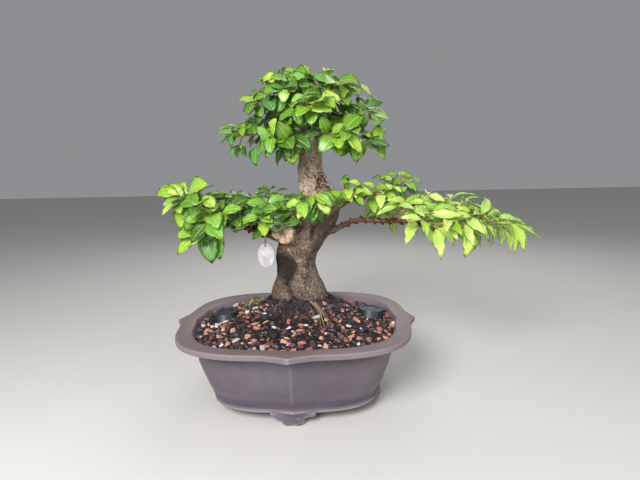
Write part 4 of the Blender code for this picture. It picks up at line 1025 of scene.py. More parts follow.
def planTwig(line, thick, thin, pairs, spray, draw, start=None):
    # a square twig with a collar at each pair, where the leaves' roots are the middles of its faces
    collar = sprayValues["collar"]
    length = distances(line)[-1]
    knots = [length * (1 - k / (pairs - 0.35)) for k in range(pairs)][::-1]
    knots[-1] = length - collar
    stops = [0.0] + [knot + hand * collar for knot in knots for hand in (-1, 1)]
    middles = [atDistance(line, stop) for stop in stops]
    frames = crossFrames(middles, start)
    rings = [circle(middle, side, above, thick + (thin - thick) * (stop / length) ** 0.8, 4, radians(45))
             for stop, middle, (ahead, side, above) in zip(stops, middles, frames)]
    collars = []
    for number in range(pairs):
        row, back = 1 + 2 * number, pairs - 1 - number
        leaves = leafPair(frames[row], (1, 3) if back % 2 == 0 else (0, 2), back == 0, spray, draw)
        for leaf in leaves:
            k = leaf["side"]
            corners = [rings[row][k], rings[row][(k + 1) % 4], rings[row + 1][k], rings[row + 1][(k + 1) % 4]]
            leaf["root"] = sum(corners, Vector()) / 4
            leaf["share"] = knots[number] / length
        collars.append({"ring": rings[row], "frame": frames[row], "length": length, "leaves": leaves,
                        "level": back % 2 == 0})
    return {"rings": rings, "collars": collars, "line": line, "thick": thick, "thin": thin}


def planFork(collar, number, spray, draw):
    values = sprayValues
    axis, side, above = collar["frame"]
    faceSide = 0 if collar["level"] else (1, 3)[(number + len(spray.name)) % 2]
    out = {0: above, 1: -side, 3: side}[faceSide]
    tilt = radians(values["forkAngle"])
    way = (axis * cos(tilt) + out * sin(tilt)).normalized()
    length = collar["length"] * values["forkLength"] * draw.uniform(0.9, 1.15)
    ring = collar["ring"]
    middle = sum(ring, Vector()) / 4
    start = middle + out * (ring[0] - ring[1]).length / 2
    line = [start + way * length * t + up * length * 0.10 * t * t for t in (0.12, 0.5, 1)]
    fork = planTwig(line, mm(values["forkRadii"][0]), mm(values["forkRadii"][1]), 1, spray, draw)
    fork["line"] = [middle] + line
    return fork


def planSpray(spray, draw):
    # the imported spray's stem, and its forks after it
    values = sprayValues
    whole = sprayLine(spray)
    line = resample(whole, bareLength(spray), distances(whole)[-1], 6)
    start, thick = (line[0] - whole[0]).normalized(), mm(values["twigRadii"][1])
    if spray.share == 1:
        start, thick = bearerWay(spray.bearer), bearerRadius(spray.bearer, 1)
    line[0] = line[0] + start * values["twigGap"]
    stem = planTwig(line, thick * 1.1, mm(values["twigRadii"][2]), spray.pairs, spray, draw, start)
    stem["line"] = [line[0] - start * 0.002] + line
    return [stem] + [planFork(stem["collars"][max(spray.pairs - 2 - number // 2, 0)], number, spray, draw)
                     for number in range(spray.forks)]


def leanLeaf(leaf, core, sag):
    # turn a leaf's face outwards and let it hang
    away = leaf["root"] - nearestOn(leaf["root"], core)
    away.z = 0
    leaf["outer"] = min(away.length / mm(leafValues["leanReach"]), 1)
    away = away.normalized() * leaf["outer"]
    light = Vector(leafValues["toLight"]) * clamp(0.6 - away.y)   # none at the back
    leaf["face"] = (leaf["face"] + leafValues["leanOut"] * away + light).normalized()
    leaf["way"] = (leaf["way"] + 0.2 * away - sag * up).normalized()


def settleLeaf(leaf, clearance):
    # the first turn of the leaf that crosses nothing, at best one that leaves the bark clear and isn't upright
    second = None
    for roll, bend in leafValues["turns"]:
        turned = leafFrame(leaf, roll, bend)
        shield = leafShield(leaf, turned, clearance)
        if crossesCrowd(*shield):
            continue
        if turned.col[0].z < 0.5 and not hidesBark(shield[0]):
            break
        second = second or (turned.col[0].z < 0.8 and (turned, shield))
    else:
        if not second:
            return False
        turned, shield = second
    addToCrowd(*shield)
    leaf["frame"] = turned
    return True


def extraShoots(spray, stem, draw):
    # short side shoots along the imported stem, each with a pair of leaves and some with a young pair
    values = extraValues
    line = catmull(stem["line"], 4)
    total = distances(line)[-1]
    frames = crossFrames(line)
    drift = Vector(values["drift"].get(spray.name, (0, 0, 0)))
    count = round(total / mm(values["spacing"]) * values["fill"][groupOf(spray)])
    shoots = []
    for number in range(count):
        distance = total * (0.2 + 0.8 * (number + draw.random()) / count)
        nearest = nearestStep(line, distance)
        axis, side, above = frames[nearest]
        angle = draw.gauss(0.5, 0.5) * pi
        out = side * cos(angle) + above * sin(angle)
        tilt = radians(draw.uniform(30, 65))
        way = (axis * cos(tilt) + out * sin(tilt) + drift).normalized()
        length = mm(draw.uniform(*values["length"]))
        route = [line[nearest] + way * length * t + up * length * 0.18 * t * t for t in (0, 0.35, 0.7, 1)]
        end = crossFrames(route)[-1]
        leaves = []
        sizes = [draw.uniform(*values["leafShare"][groupOf(spray)])]
        if draw.random() < values["youngChance"]:
            sizes.append(values["youngShare"])
        level = draw.random() < 0.6
        for size in sizes:
            young = size == values["youngShare"]
            for leaf in leafPair(end, (1, 3) if level != young else (0, 2), young, spray, draw):
                leaf["length"] *= size
                leaf["width"] *= size
                leaf.update(root=route[-1].copy(), share=distance / total, young=young)
                leaves.append(leaf)
        shoots.append((route, leaves))
    return shoots


def growLeaves():
    # every leaf with its place, turn, size, form and tint, group by group, and the twigs
    for name in ("trunk", "wire_left", "wire_right", "wire_upper", "tag_wire", "tag"):
        mesh = cadNodes[name].data
        addToCrowd([vert.co.copy() for vert in mesh.vertices], [tuple(face.vertices) for face in mesh.polygons])
    plans = [planSpray(spray, random.Random(sprayValues["seed"] + i)) for i, spray in enumerate(sprays)]
    for plan in plans:
        for twig in plan:
            addToCrowd([spot for ring in twig["rings"] for spot in ring], sleeveFaces(len(twig["rings"]), 4))
    # what the leaves of each group turn away from
    cores = {group: [point((20, 14, height)) for height in (180, 300, 420)] if group in ("crown", "trunk")
             else bearerLine(group) for group in map(groupOf, sprays)}
    groups, twigs = {}, []
    wide, close = leafValues["clearance"]
    for spray, plan in zip(sprays, plans):
        leaves = groups.setdefault(groupOf(spray), [])
        for twig in plan:
            for leaf in [leaf for collar in twig["collars"] for leaf in collar["leaves"]]:
                leanLeaf(leaf, cores[groupOf(spray)], leafValues["sag"].get(spray.name, leafValues["usualSag"]))
                if settleLeaf(leaf, wide):
                    leaves.append((leaf, spray))
            twigs.append((twig["line"], twig["thick"], twig["thin"]))
    packed = sum(len(leaves) for leaves in groups.values())
    for number, (spray, plan) in enumerate(zip(sprays, plans)):
        draw = random.Random(extraValues["seed"] + number)
        for route, leaves in extraShoots(spray, plan[0], draw):
            kept = []
            for leaf in leaves:
                leanLeaf(leaf, cores[groupOf(spray)], draw.uniform(*extraValues["sag"][groupOf(spray)]))
                shield = leafShield(leaf, leafFrame(leaf, 0, 0), close)[0]
                inside = all(cadBox[0][k] <= place[k] <= cadBox[1][k] for place in shield for k in range(3))
                if inside and not hidesBark(shield) and settleLeaf(leaf, close):
                    kept.append((leaf, spray))
            groups[groupOf(spray)] += kept
            if kept:
                twigs.append((route, *map(mm, extraValues["radii"])))
    print("leaves: packed", packed, "and added", sum(len(leaves) for leaves in groups.values()) - packed)
    return groups, twigs


def leafForm(name, droop, kind, sickle, wave):
    # a thin lens with its rib, folded along it, for a leaf of length 1 and width 1
    values = leafValues
    first, second = values["kinds"][kind]
    bm = bmesh.new()
    layer = bm.loops.layers.uv.new("leafMap")
    coords = {}

    def width(t):
        if t <= values["petiole"]:
            return values["petioleWidth"]
        along = (t - values["petiole"]) / (1 - values["petiole"])
        blade = sin(pi * along ** first) ** second if along < 1 else 0.0
        return max(blade, values["petioleWidth"]) if t < 0.2 else blade

    def vertAt(t, s, drop):
        turn = droop * t
        half = width(t) * s / 2
        ripple = wave * sin(11 * t + 2.2 * s) * s * s * width(t)
        lift = abs(half) * values["fold"] * 2 * values["aspect"] + ripple - drop
        vert = bm.verts.new((sin(turn) / droop + lift * sin(turn), half + sickle * sin(pi * t) * 0.5,
                             lift * cos(turn) - (1 - cos(turn)) / droop))
        coords[vert] = (t, (s + 1) / 2)
        return vert

    top, low = [], []
    for t in values["rows"]:
        top.append([])
        low.append([])
        for s in values["columns"]:
            top[-1].append(vertAt(t, s, 0.0))
            low[-1].append(vertAt(t, s, values["thickness"] * (t < 1)) if abs(s) < 1 else top[-1][-1])
    for row in range(len(top) - 1):
        for i in range(len(top[0]) - 1):
            for grid, shift in ((top, 0.0), (low, 2.0)):
                corners = [grid[row][i], grid[row + 1][i], grid[row + 1][i + 1], grid[row][i + 1]]
                face = bm.faces.new(corners[::-1] if shift else corners)
                for loop in face.loops:
                    t, v = coords[loop.vert]
                    loop[layer].uv = (t + shift, v)   # the underside is 2 further along
    bm.faces.new(top[0] + low[0][1:-1][::-1])
    bmesh.ops.remove_doubles(bm, verts=bm.verts, dist=0.0001)
    bmesh.ops.dissolve_degenerate(bm, dist=0.00001, edges=bm.edges)
    for face in bm.faces:
        face.smooth = True
    mesh = bpy.data.meshes.new(name)
    bm.to_mesh(mesh)
    bm.free()
    return bpy.data.objects.new(name, mesh)


def leafForms():
    # kept in a collection that isn't in the scene, for the geometry tree to pick from
    values = leafValues
    forms = bpy.data.collections.new("leafForms")
    for kind in range(len(values["kinds"])):
        for step, droop in enumerate(values["droops"]):
            number = kind * len(values["droops"]) + step
            forms.objects.link(leafForm("leafForm%02d" % number, droop, kind, values["sickles"][number % 4],
                                        values["waves"][number % 3]))
    return forms


def leafTree():
    tree, add, given = newTree("leavesOnTwigs", ("Leaf Forms", "Collection"), ("Material", "Material"))
    forms = add("GeometryNodeCollectionInfo", {
        "Collection": given["Leaf Forms"], "Separate Children": True, "Reset Children": True})
    turn, size, form = (add("GeometryNodeInputNamedAttribute", {"Name": name}, data_type=kind) for name, kind in (
        ("leafTurn", "FLOAT_VECTOR"), ("leafSize", "FLOAT_VECTOR"), ("leafForm", "INT")))
    leaves = add("GeometryNodeInstanceOnPoints", {
        "Points": add("GeometryNodeMeshToPoints", {"Mesh": given["Geometry"]}), "Instance": forms,
        "Pick Instance": True, "Instance Index": form, "Scale": size,
        "Rotation": add("FunctionNodeEulerToRotation", {"Euler": turn})})
    return endTree(tree, leaves, given)


def leafMaterial():
    # Privet leaf: a thin waxy blade, glossy above and dull and paler below, with a pale rib,
    # faint side veins and a colour that goes from old dark green to young yellow green, with painted light that makes
    # outer leaves, and higher and right-hand crown leaves, lighter
    material, shader, add, place = newMaterial("privetLeaf")
    tint = add("Attribute", attribute_name="leafTint").outputs["Fac"]
    parts = add("SeparateXYZ", {"Vector": add("UVMap", uv_map="leafMap")}).outputs
    under = add("Math", {0: parts["X"], 1: 1.5}, operation="GREATER_THAN")
    mottle = add("TexNoise", {"Vector": place, "Scale": 160.0, "Detail": 4.0, "Roughness": 0.6})
    shift = add("Math", {0: mottle, 1: 0.30, 2: -0.15}, operation="MULTIPLY_ADD")
    shade = add("Math", {0: tint, 1: shift}, operation="ADD", use_clamp=True)
    base = add("ValToRGB", {"Fac": shade}, leafValues["tints"])
    # distance from the rib, 0 at the rib and 0.5 at the margin
    centred = add("Math", {0: parts["Y"], 1: 0.5}, operation="SUBTRACT")
    aside = add("Math", {0: centred}, operation="ABSOLUTE")
    rib = add("MapRange", {"Value": aside, "From Min": 0.018, "From Max": 0.05, "To Min": 1.0, "To Max": 0.0})
    # side veins leave the rib at a slant, about 7 on each side
    slant = add("Math", {0: aside, 1: -0.55, 2: parts["X"]}, operation="MULTIPLY_ADD")
    ripple = add("Math", {0: add("Math", {0: slant, 1: 46.0}, operation="MULTIPLY")}, operation="SINE")
    vein = add("MapRange", {"Value": ripple, "From Min": 0.86, "From Max": 1.0, "To Max": 0.55})
    lines = add("Math", {0: rib, 1: vein}, operation="MAXIMUM")
    faint = add("Math", {0: lines, 1: 0.28}, operation="MULTIPLY")
    veined = add("Mix", {"Factor": faint, "A": base, "B": "#c8dc84"}, data_type="RGBA")
    # bluer and yellower leaves, over patches of about two leaves; the bluer tint is partly hue that differs at random
    # and partly a painted cool sheen
    drift = add("TexNoise", {"Vector": place, "Scale": 34.0, "Detail": 1.0})
    bluerWithSheen = add("MapRange", {"Value": drift, "From Min": 0.52, "From Max": 0.68, "To Max": 0.45})
    huedWithSheen = add("Mix", {"Factor": bluerWithSheen, "A": veined, "B": "#5f9c58"}, data_type="RGBA")
    dull = add("Math", {0: under, 1: 0.45}, operation="MULTIPLY")
    paler = add("Mix", {"Factor": dull, "A": huedWithSheen, "B": "#9dbb7c"}, data_type="RGBA")
    rough = add("Math", {0: under, 1: 0.24, 2: 0.34}, operation="MULTIPLY_ADD")
    bump = add("Bump", {"Height": lines, "Strength": 0.35, "Distance": 0.0004}, invert=True)
    setInputs(shader, {"Base Color": paler, "Roughness": rough, "Normal": bump, "Specular IOR Level": 0.55,
                       "Subsurface Weight": 0.2, "Subsurface Radius": (0.4, 1.0, 0.15), "Subsurface Scale": 0.002})
    return material


def leafTint(leaf, spray, group, draw):
    values = tintValues
    tone = values["group"][group] + draw.gauss(0, values["spread"])
    # painted light: leaves far out along their stems are lighter
    tone += values["outer"] * (leaf["outer"] * leaf["share"] - 0.5)
    if spray.name == "left_tip":
        tone += values["leftTip"]
    # painted light: higher crown leaves, and those to the right, are lighter
    if group == "crown":
        tone += values["height"] * (leaf["root"].z - 0.345)
        tone += values["lighterToRight"] * (leaf["root"].x - potPlace.x - 0.02)
    return clamp(tone + (values["young"] if leaf.get("young") else 0), values["most"])


def makeLeaves():
    groups, twigs = growLeaves()
    forms, tree, material = leafForms(), leafTree(), leafMaterial()
    draw = random.Random(tintValues["seed"])
    droops = leafValues["droops"]
    for group, leaves in groups.items():
        picks, tints = [], []
        for leaf, spray in leaves:
            kind = {"right": 2, "left": 1, "upper": 1}.get(group, draw.choice((0, 0, 1)))
            nearest = min(range(len(droops)), key=lambda i: abs(droops[i] - leaf["droop"]))
            picks.append(kind * len(droops) + nearest)
            tints.append(leafTint(leaf, spray, group, draw))
        piece = meshObject("leaves" + group.capitalize(), [leaf["frame"].translation for leaf, spray in leaves])
        setAttribute(piece.data, "leafTurn", [leaf["frame"].to_euler() for leaf, spray in leaves], "FLOAT_VECTOR")
        sizes = [(leaf["length"], leaf["width"], leaf["length"]) for leaf, spray in leaves]
        setAttribute(piece.data, "leafSize", sizes, "FLOAT_VECTOR")
        setAttribute(piece.data, "leafForm", picks, "INT")
        setAttribute(piece.data, "leafTint", tints)
        growTree(piece, tree, {"Leaf Forms": forms, "Material": material})
        finishPiece(piece, ["foliage_" + spray.name for spray in sprays if groupOf(spray) == group])
    paths = []
    for line, thick, thin in twigs:
        smooth = catmull(line, 3)
        last = len(smooth) - 1
        paths.append((smooth, [thick + (thin - thick) * (i / last) ** 0.8 for i in range(last + 1)]))
    # Young privet shoots: smooth green skin that turns to tan wood
    skin = mottledMaterial("youngPrivetShoot", (90.0, 3.0, 0.5), ((0.3, "#6e4f2c"), (0.48, "#a08a4c"),
                           (0.7, "#c2bd72")), Roughness=0.6)
    finishPiece(makeTubes("leafTwigs", paths, 6, skin))


makeLeaves()


# Training wires: coils that pass each side shoot on its far side

Wire = namedtuple("Wire", "name limb first last pitch radius")
wireValues = {
    "coils": (Wire("wire_left", "left", 0.40, 0.97, 0.0085, 0.0011),
              Wire("wire_right", "right", 0.18, 0.97, 0.0115, 0.0009),
              Wire("wire_upper", "upper", 0.36, 0.95, 0.0100, 0.0009)),
    "curveSteps": 12, "steps": 22, "sides": 10,   # points between two of the limb's, in a turn and round the wire
    "clear": 0.0004,   # from the limb's skin
}


def shootAngles(wire, line, frames):
    total = distances(line)[-1]
    shoots = []
    for spray in sprays:
        if spray.bearer == wire.limb and wire.first < spray.share < wire.last:
            distance = spray.share * total
            ahead, side, above = frames[nearestStep(line, distance)]
            way = (sprayLine(spray)[2] - sprayLine(spray)[0]).normalized()
            out = hypot(way.dot(side), way.dot(above))
            slip = (bearerRadius(wire.limb, spray.share) + wire.radius) * way.dot(ahead) / out
            shoots.append((distance + slip, atan2(way.dot(above), way.dot(side))))
    return sorted(shoots)


def wireLine(wire):
    line = catmull([point(place) for place in limbs[wire.limb].route], wireValues["curveSteps"])
    total = distances(line)[-1]
    frames = crossFrames(line)
    marks = [(wire.first * total, 0.0)]   # distance and angle turned
    for distance, angle in shootAngles(wire, line, frames):
        previous, turned = marks[-1]
        wanted = turned + 2 * pi * (distance - previous) / wire.pitch
        goal = angle + pi + 2 * pi * round((wanted - angle - pi) / (2 * pi))
        marks.append((distance, goal + 2 * pi if goal <= turned else goal))
    end = wire.last * total
    marks.append((end, marks[-1][1] + 2 * pi * (end - marks[-1][0]) / wire.pitch))
    places = []
    count = ceil(marks[-1][1] / (2 * pi) * wireValues["steps"])
    for i in range(count + 1):
        angle = marks[-1][1] * i / count
        low, high = next((a, b) for a, b in zip(marks, marks[1:]) if angle <= b[1] + 1e-9)
        distance = low[0] + (high[0] - low[0]) * (angle - low[1]) / (high[1] - low[1])
        ahead, side, above = frames[nearestStep(line, distance)]
        reach = bearerRadius(wire.limb, distance / total) + wire.radius + wireValues["clear"]
        places.append(atDistance(line, distance) + reach * (side * cos(angle) + above * sin(angle)))
    return places


def makeWires():
    # Annealed copper training wire: soft bright metal, browned by its oxide in patches
    copper = mottledMaterial("annealedCopperWire", (130.0, 4.0, 0.6), (
        (0.32, "#3c2014"), (0.48, "#66391f"), (0.62, "#94602f"), (0.76, "#cf9c5a")),
        Metallic=0.9, Roughness=(0.5, 0.28))
    for wire in wireValues["coils"]:
        line = wireLine(wire)
        piece = makeTubes("coil" + wire.limb.capitalize(), [(line, [wire.radius] * len(line))],
                          wireValues["sides"], copper)
        finishPiece(piece, (wire.name,))


makeWires()


# Soil: a dark bed with a fibrous mound at the tree's foot, and gravel of several kinds strewn on it

soilValues = {
    # name, spacing, smallest, largest, sink and seed
    "layers": (("gravelFine", 0.0034, 0.0024, 0.0044, 0.0003, 3), ("gravelMiddle", 0.0060, 0.0056, 0.0092, 0.0006, 5),
               ("gravelCoarse", 0.0105, 0.0085, 0.0135, 0.0008, 8)),
    "mossTufts": (0.0012, 0.0018, 0.0040, 0.0006, 14), "chipTilt": 0.7, "tuftTilt": 3.0,
    "forms": 6, "formSeed": 31, "density": 1200000.0,
    "tints": ((0.0, "#141016"), (0.22, "#2a242b"), (0.38, "#443b42"), (0.53, "#66565e"), (0.63, "#6e403c"),
              (0.72, "#98564c"), (0.81, "#b8776c"), (0.89, "#c6967f"), (0.95, "#d2c6c4")),
    "fineTints": ((0.0, "#17121a"), (0.24, "#2d262d"), (0.48, "#483e46"), (0.69, "#5c494b"), (0.84, "#7f574e"),
                  (0.94, "#a37d71")),
    "mossTints": ((0.0, "#4a4427"), (0.35, "#6c633b"), (0.7, "#948a5c"), (0.9, "#b3a97e")),
    "moss": (-61, 41, 18), "mossHeight": 10.0, "leastCover": 0.03,
    # mound: middle, reach to the front, sides and back, and height beside the trunk, in millimetres
    "mound": (5, 25), "moundReach": (68, 56, 48), "moundHeight": 11.5,
    "caps": ((-92.5, 12), (96, 20)), "capClear": 24,
    "topAbove": 0.085, "edges": (0.012, 0.006, 0.003, 0.0017),   # each round of halving leaves edges this long
    # black lumps of charred bark: place and size, and the share of it that they are raised
    "lumps": ((57, 40, 12), (64, 42, 9), (88, 50, 13), (-42, 22, 12), (-22, -66, 18), (28, -64, 15), (-60, -38, 12),
              (-95, 38, 11), (70, -30, 10), (40, 62, 12), (-34, 66, 11), (2, -72, 9), (-66, -56, 14), (52, -50, 12),
              (-34, -34, 13), (-8, -50, 9), (-4, -64, 10), (44, -70, 10), (84, -40, 11), (-48, -18, 9)),
    "lumpRaise": 0.16, "lumpSeed": 12,
    "fibres": 520, "fibreRadius": (0.28, 0.60), "fibreLength": (9, 26), "fibreSeed": 58,
    # thicker tan roots, with the radius of each: a bundle that fans out at the front right, and two more
    "roots": ((((19, -9), (27, -17), (31.5, -25), (34, -36), (37, -49)), 1.7),
              (((18, -11), (26, -19), (30, -27), (31.5, -37), (33, -48)), 1.3),
              (((20, -8), (29, -16), (34, -25), (38, -35), (42, -45)), 1.3),
              (((20, -22), (24, -33), (27.5, -47)), 0.8), (((35, -23), (40, -31), (46, -41)), 0.8),
              (((-14, -2), (-22, -12), (-24, -22)), 0.9), (((30, 0), (41, -6), (44, -15), (52, -18)), 0.7)),
}


def grainForms():
    forms = bpy.data.collections.new("grainForms")
    draw = random.Random(soilValues["formSeed"])
    for number in range(soilValues["forms"]):
        bm = bmesh.new()
        bmesh.ops.create_icosphere(bm, subdivisions=1, radius=1.0)
        stretch = Vector((1.0, draw.uniform(0.48, 0.8), draw.uniform(0.34, 0.55)))
        for vert in bm.verts:
            vert.co = vert.co * draw.uniform(0.66, 1.14) * stretch
        mesh = bpy.data.meshes.new("grainForm%d" % number)
        bm.to_mesh(mesh)
        bm.free()
        forms.objects.link(bpy.data.objects.new(mesh.name, mesh))
    return forms


def grainTree():
    tree, add, given = newTree(
        "grainsOnSoil", ("Spacing", "Float"), ("Smallest", "Float"), ("Largest", "Float"), ("Sink", "Float"),
        ("Tilt", "Float"), ("Seed", "Int"), ("Grain Forms", "Collection"), ("Material", "Material"))
    cover = add("GeometryNodeInputNamedAttribute", {"Name": "grainCover"}, data_type="FLOAT")
    spread = add("GeometryNodeDistributePointsOnFaces", {
        "Mesh": given["Geometry"], "Distance Min": given["Spacing"], "Density Max": soilValues["density"],
        "Density Factor": cover, "Seed": given["Seed"]}, distribute_method="POISSON")
    forms = add("GeometryNodeCollectionInfo", {
        "Collection": given["Grain Forms"], "Separate Children": True, "Reset Children": True})
    # chips lie flat, turned any way about the vertical
    back = add("Math", {0: given["Tilt"], 1: -1.0}, operation="MULTIPLY")
    least = add("CombineXYZ", {"X": back, "Y": back})
    most = add("CombineXYZ", {"X": given["Tilt"], "Y": given["Tilt"], "Z": 6.283})
    turn, size, pick, tint = (
        add("FunctionNodeRandomValue", {**limits, "Seed": given["Seed"]}, data_type=kind) for kind, limits in (
            ("FLOAT_VECTOR", {"Min": least, "Max": most}),
            ("FLOAT", {"Min": given["Smallest"], "Max": given["Largest"]}),
            ("INT", {"Min": 0, "Max": soilValues["forms"] - 1}), ("FLOAT", {})))
    lower = add("Math", {0: given["Sink"], 1: -1.0}, operation="MULTIPLY")
    sunk = add("GeometryNodeSetPosition", {"Geometry": spread, "Offset": add("CombineXYZ", {"Z": lower})})
    grains = add("GeometryNodeInstanceOnPoints", {
        "Points": sunk, "Instance": forms, "Pick Instance": True, "Instance Index": pick, "Scale": size,
        "Rotation": add("FunctionNodeEulerToRotation", {"Euler": turn})})
    marked = add("GeometryNodeStoreNamedAttribute", {"Geometry": grains, "Name": "grainTint", "Value": tint},
                 data_type="FLOAT", domain="INSTANCE")
    return endTree(tree, marked, given)


def grainMaterial(name, tints):
    # Potting gravel: fired clay, lava and pumice, all matte and open-pored, dusty on top; moss likewise
    material, shader, add, place = newMaterial(name)
    base = add("ValToRGB", {"Fac": add("Attribute", attribute_name="grainTint").outputs["Fac"]}, tints)
    base.color_ramp.interpolation = "CONSTANT"
    pores = add("TexNoise", {"Vector": place, "Scale": 700.0, "Detail": 4.0, "Roughness": 0.7})
    shade = add("ValToRGB", {"Fac": pores}, ((0.3, "#6e6a68"), (0.55, "#ffffff")))
    colour = add("Mix", {"Factor": 0.75, "A": base, "B": shade}, data_type="RGBA", blend_type="MULTIPLY")
    bump = add("Bump", {"Height": pores, "Strength": 0.5, "Distance": 0.0005})
    setInputs(shader, {"Base Color": colour, "Roughness": 0.85, "Normal": bump})
    return material


def flatPlace(spot):
    return (spot.x - potPlace.x) * 1000, (spot.y - potPlace.y) * 1000


def moundShare(x, y):
    # 1 at the tree's foot and 0 at the mound's ragged edge
    front, side, back = soilValues["moundReach"]
    x -= soilValues["mound"][0]
    y -= soilValues["mound"][1]
    reach = hypot(x / side, y / (front if y < 0 else back))
    reach += 0.10 * noise.noise(Vector((x / 9, y / 9, 3.0))) + 0.05 * noise.noise(Vector((x / 3.5, y / 3.5, 7.0)))
    return clamp((1.0 - reach) / 0.42)


def mossShare(x, y):
    a, b, reach = soilValues["moss"]
    away = hypot(x - a, y - b) / reach + 0.5 * noise.noise(Vector((x / 6, y / 6, 1)))
    return clamp((1.0 - away) / 0.3)


def bedLift(spot):
    # how far the fine bed stands over the packed soil, in metres
    x, y = flatPlace(spot)
    share = moundShare(x, y)
    rise = soilValues["moundHeight"] * share * share * (3 - 2 * share)
    grit = 0.55 * noise.noise(Vector((x / 2.4, y / 2.4, 0))) + 0.9 * noise.noise(Vector((x / 8, y / 8, 5)))
    matted = abs(noise.noise(Vector((x / 3.2, y / 3.2, 11))) + 0.6 * noise.noise(Vector((x / 1.6, y / 1.6, 2))))
    a, b, reach = soilValues["moss"]
    rise += soilValues["mossHeight"] * exp(-((x - a) ** 2 + (y - b) ** 2) / (0.65 * reach) ** 2)
    calm = min([1.0] + [max(hypot(x - a, y - b) - soilValues["capClear"], 0) / 6 for a, b in soilValues["caps"]])
    return mm(rise * (0.8 + 0.7 * matted) + grit * calm)


def soilBed():
    # the packed soil with its top refined and lifted, the top alone, and its search tree
    bm = bmesh.new()
    bm.from_mesh(cadNodes["soil"].data)
    bmesh.ops.remove_doubles(bm, verts=bm.verts, dist=0.00001)
    bm.normal_update()
    top = bm.faces.layers.int.new("top")
    for face in bm.faces:
        face[top] = int(face.normal.z > 0.6 and face.calc_center_median().z > soilValues["topAbove"])
    for size in soilValues["edges"]:
        long = [edge for edge in bm.edges if edge.calc_length() > size and edge.link_faces
                and all(face[top] for face in edge.link_faces)]
        bmesh.ops.subdivide_edges(bm, edges=long, cuts=1)
        bmesh.ops.triangulate(bm, faces=[face for face in bm.faces if face[top] and len(face.verts) > 3],
                              quad_method="SHORT_EDGE", ngon_method="BEAUTY")
    for vert in bm.verts:
        if all(face[top] for face in vert.link_faces):
            vert.co.z += bedLift(vert.co)
    bm.normal_update()
    patch = bm.copy()
    bed = bmeshObject("soilBed", bm)
    for name, share in (("moundTone", moundShare), ("mossTone", mossShare)):
        setAttribute(bed.data, name, [share(*flatPlace(vert.co)) for vert in bed.data.vertices])
    layer = patch.faces.layers.int["top"]
    bmesh.ops.delete(patch, geom=[face for face in patch.faces if not face[layer]], context="FACES")
    mesh = bpy.data.meshes.new("soilPatch")
    patch.to_mesh(mesh)
    tree = BVHTree.FromBMesh(patch)
    patch.free()
    return bed, mesh, tree


def gravelCover(x, y):
    # gravel lies clear of the mound and the moss
    return max(1 - 1.6 * moundShare(x, y) - 0.9 * mossShare(x, y), soilValues["leastCover"])


def groundMaterial():
    # Wet fine grit and humus between the grains, and fibrous dark peat on the mound
    material, shader, add, place = newMaterial("dampPottingGrit")
    grit = add("TexNoise", {"Vector": place, "Scale": 420.0, "Detail": 5.0, "Roughness": 0.75})
    colour = add("ValToRGB", {"Fac": grit}, ((0.36, "#070608"), (0.5, "#17120f"), (0.66, "#352824")))
    for name, stops in (("moundTone", ((0.36, "#0a0708"), (0.5, "#1f1819"), (0.64, "#43383a"))),
                        ("mossTone", ((0.36, "#2e2a16"), (0.5, "#514925"), (0.64, "#7a7043")))):
        share = add("Attribute", attribute_name=name).outputs["Fac"]
        colour = add("Mix", {"Factor": share, "A": colour, "B": add("ValToRGB", {"Fac": grit}, stops)},
                     data_type="RGBA")
    bump = add("Bump", {"Height": grit, "Strength": 0.9, "Distance": 0.0012})
    setInputs(shader, {"Base Color": colour, "Roughness": 0.8, "Specular IOR Level": 0.25, "Normal": bump})
    return material


def fibreMaterial():
    # Fine surface roots, matte, from peat black to tan, by the tint of each
    material, shader, add, place = newMaterial("surfaceRoots")
    base = add("ValToRGB", {"Fac": add("Attribute", attribute_name="pathTint").outputs["Fac"]}, (
        (0.0, "#1a1416"), (0.5, "#3f3439"), (0.78, "#64575a"), (1.0, "#8d7c60")))
    skin = add("TexNoise", {"Vector": place, "Scale": 500.0, "Detail": 3.0})
    shade = add("ValToRGB", {"Fac": skin}, ((0.35, "#8a8480"), (0.6, "#ffffff")))
    colour = add("Mix", {"Factor": 0.8, "A": base, "B": shade}, data_type="RGBA", blend_type="MULTIPLY")
    setInputs(shader, {"Base Color": colour, "Roughness": 0.85})
    return material


def landOn(bedTree, x, y):
    # the bed's surface at that place, if there is any
    return bedTree.ray_cast(point((x, y, 300)), -up)[0]


def makeRoots(bedTree):
    # thin roots that lie over the mound, each a little above its surface
    values = soilValues
    front, side, back = values["moundReach"]
    draw = random.Random(values["fibreSeed"])
    paths, tints = [], []

    def laid(x, y, radius):
        hit = landOn(bedTree, x, y)
        return hit + up * radius * 0.5 if hit else None

    for number in range(values["fibres"]):
        angle = draw.gauss(-0.5, 0.42) * pi
        ring = draw.uniform(0.42, 0.86)
        x = values["mound"][0] + side * ring * cos(angle)
        y = values["mound"][1] + (front if sin(angle) < 0 else back) * ring * sin(angle)
        heading = angle + draw.gauss(0, 0.8)
        radius = mm(draw.uniform(*values["fibreRadius"]))
        step = draw.uniform(*values["fibreLength"]) / 7
        places = []
        for k in range(8):
            spot = laid(x, y, radius * draw.uniform(0.6, 1.6))
            if spot is None or moundShare(x, y) <= 0 and k > 3:
                break
            places.append(spot)
            heading += draw.gauss(0, 0.32)
            x += step * cos(heading)
            y += step * sin(heading)
        if len(places) > 3:
            paths.append((catmull(places, 2), radius))
            tints.append(clamp(draw.gauss(0.46, 0.24), 0.9))
    for route, thick in values["roots"]:
        places = [laid(x, y, mm(1.2 * thick)) for x, y in catmull([Vector(place) for place in route], 4)]
        paths.append(([place for place in places if place], mm(thick)))
        tints.append(draw.uniform(0.86, 1.0))
    tapered = [(line, [radius * (1 - 0.65 * (i / (len(line) - 1)) ** 1.5) for i in range(len(line))])
               for line, radius in paths]
    finishPiece(makeTubes("rootFibres", tapered, 4, fibreMaterial(), tints=tints))


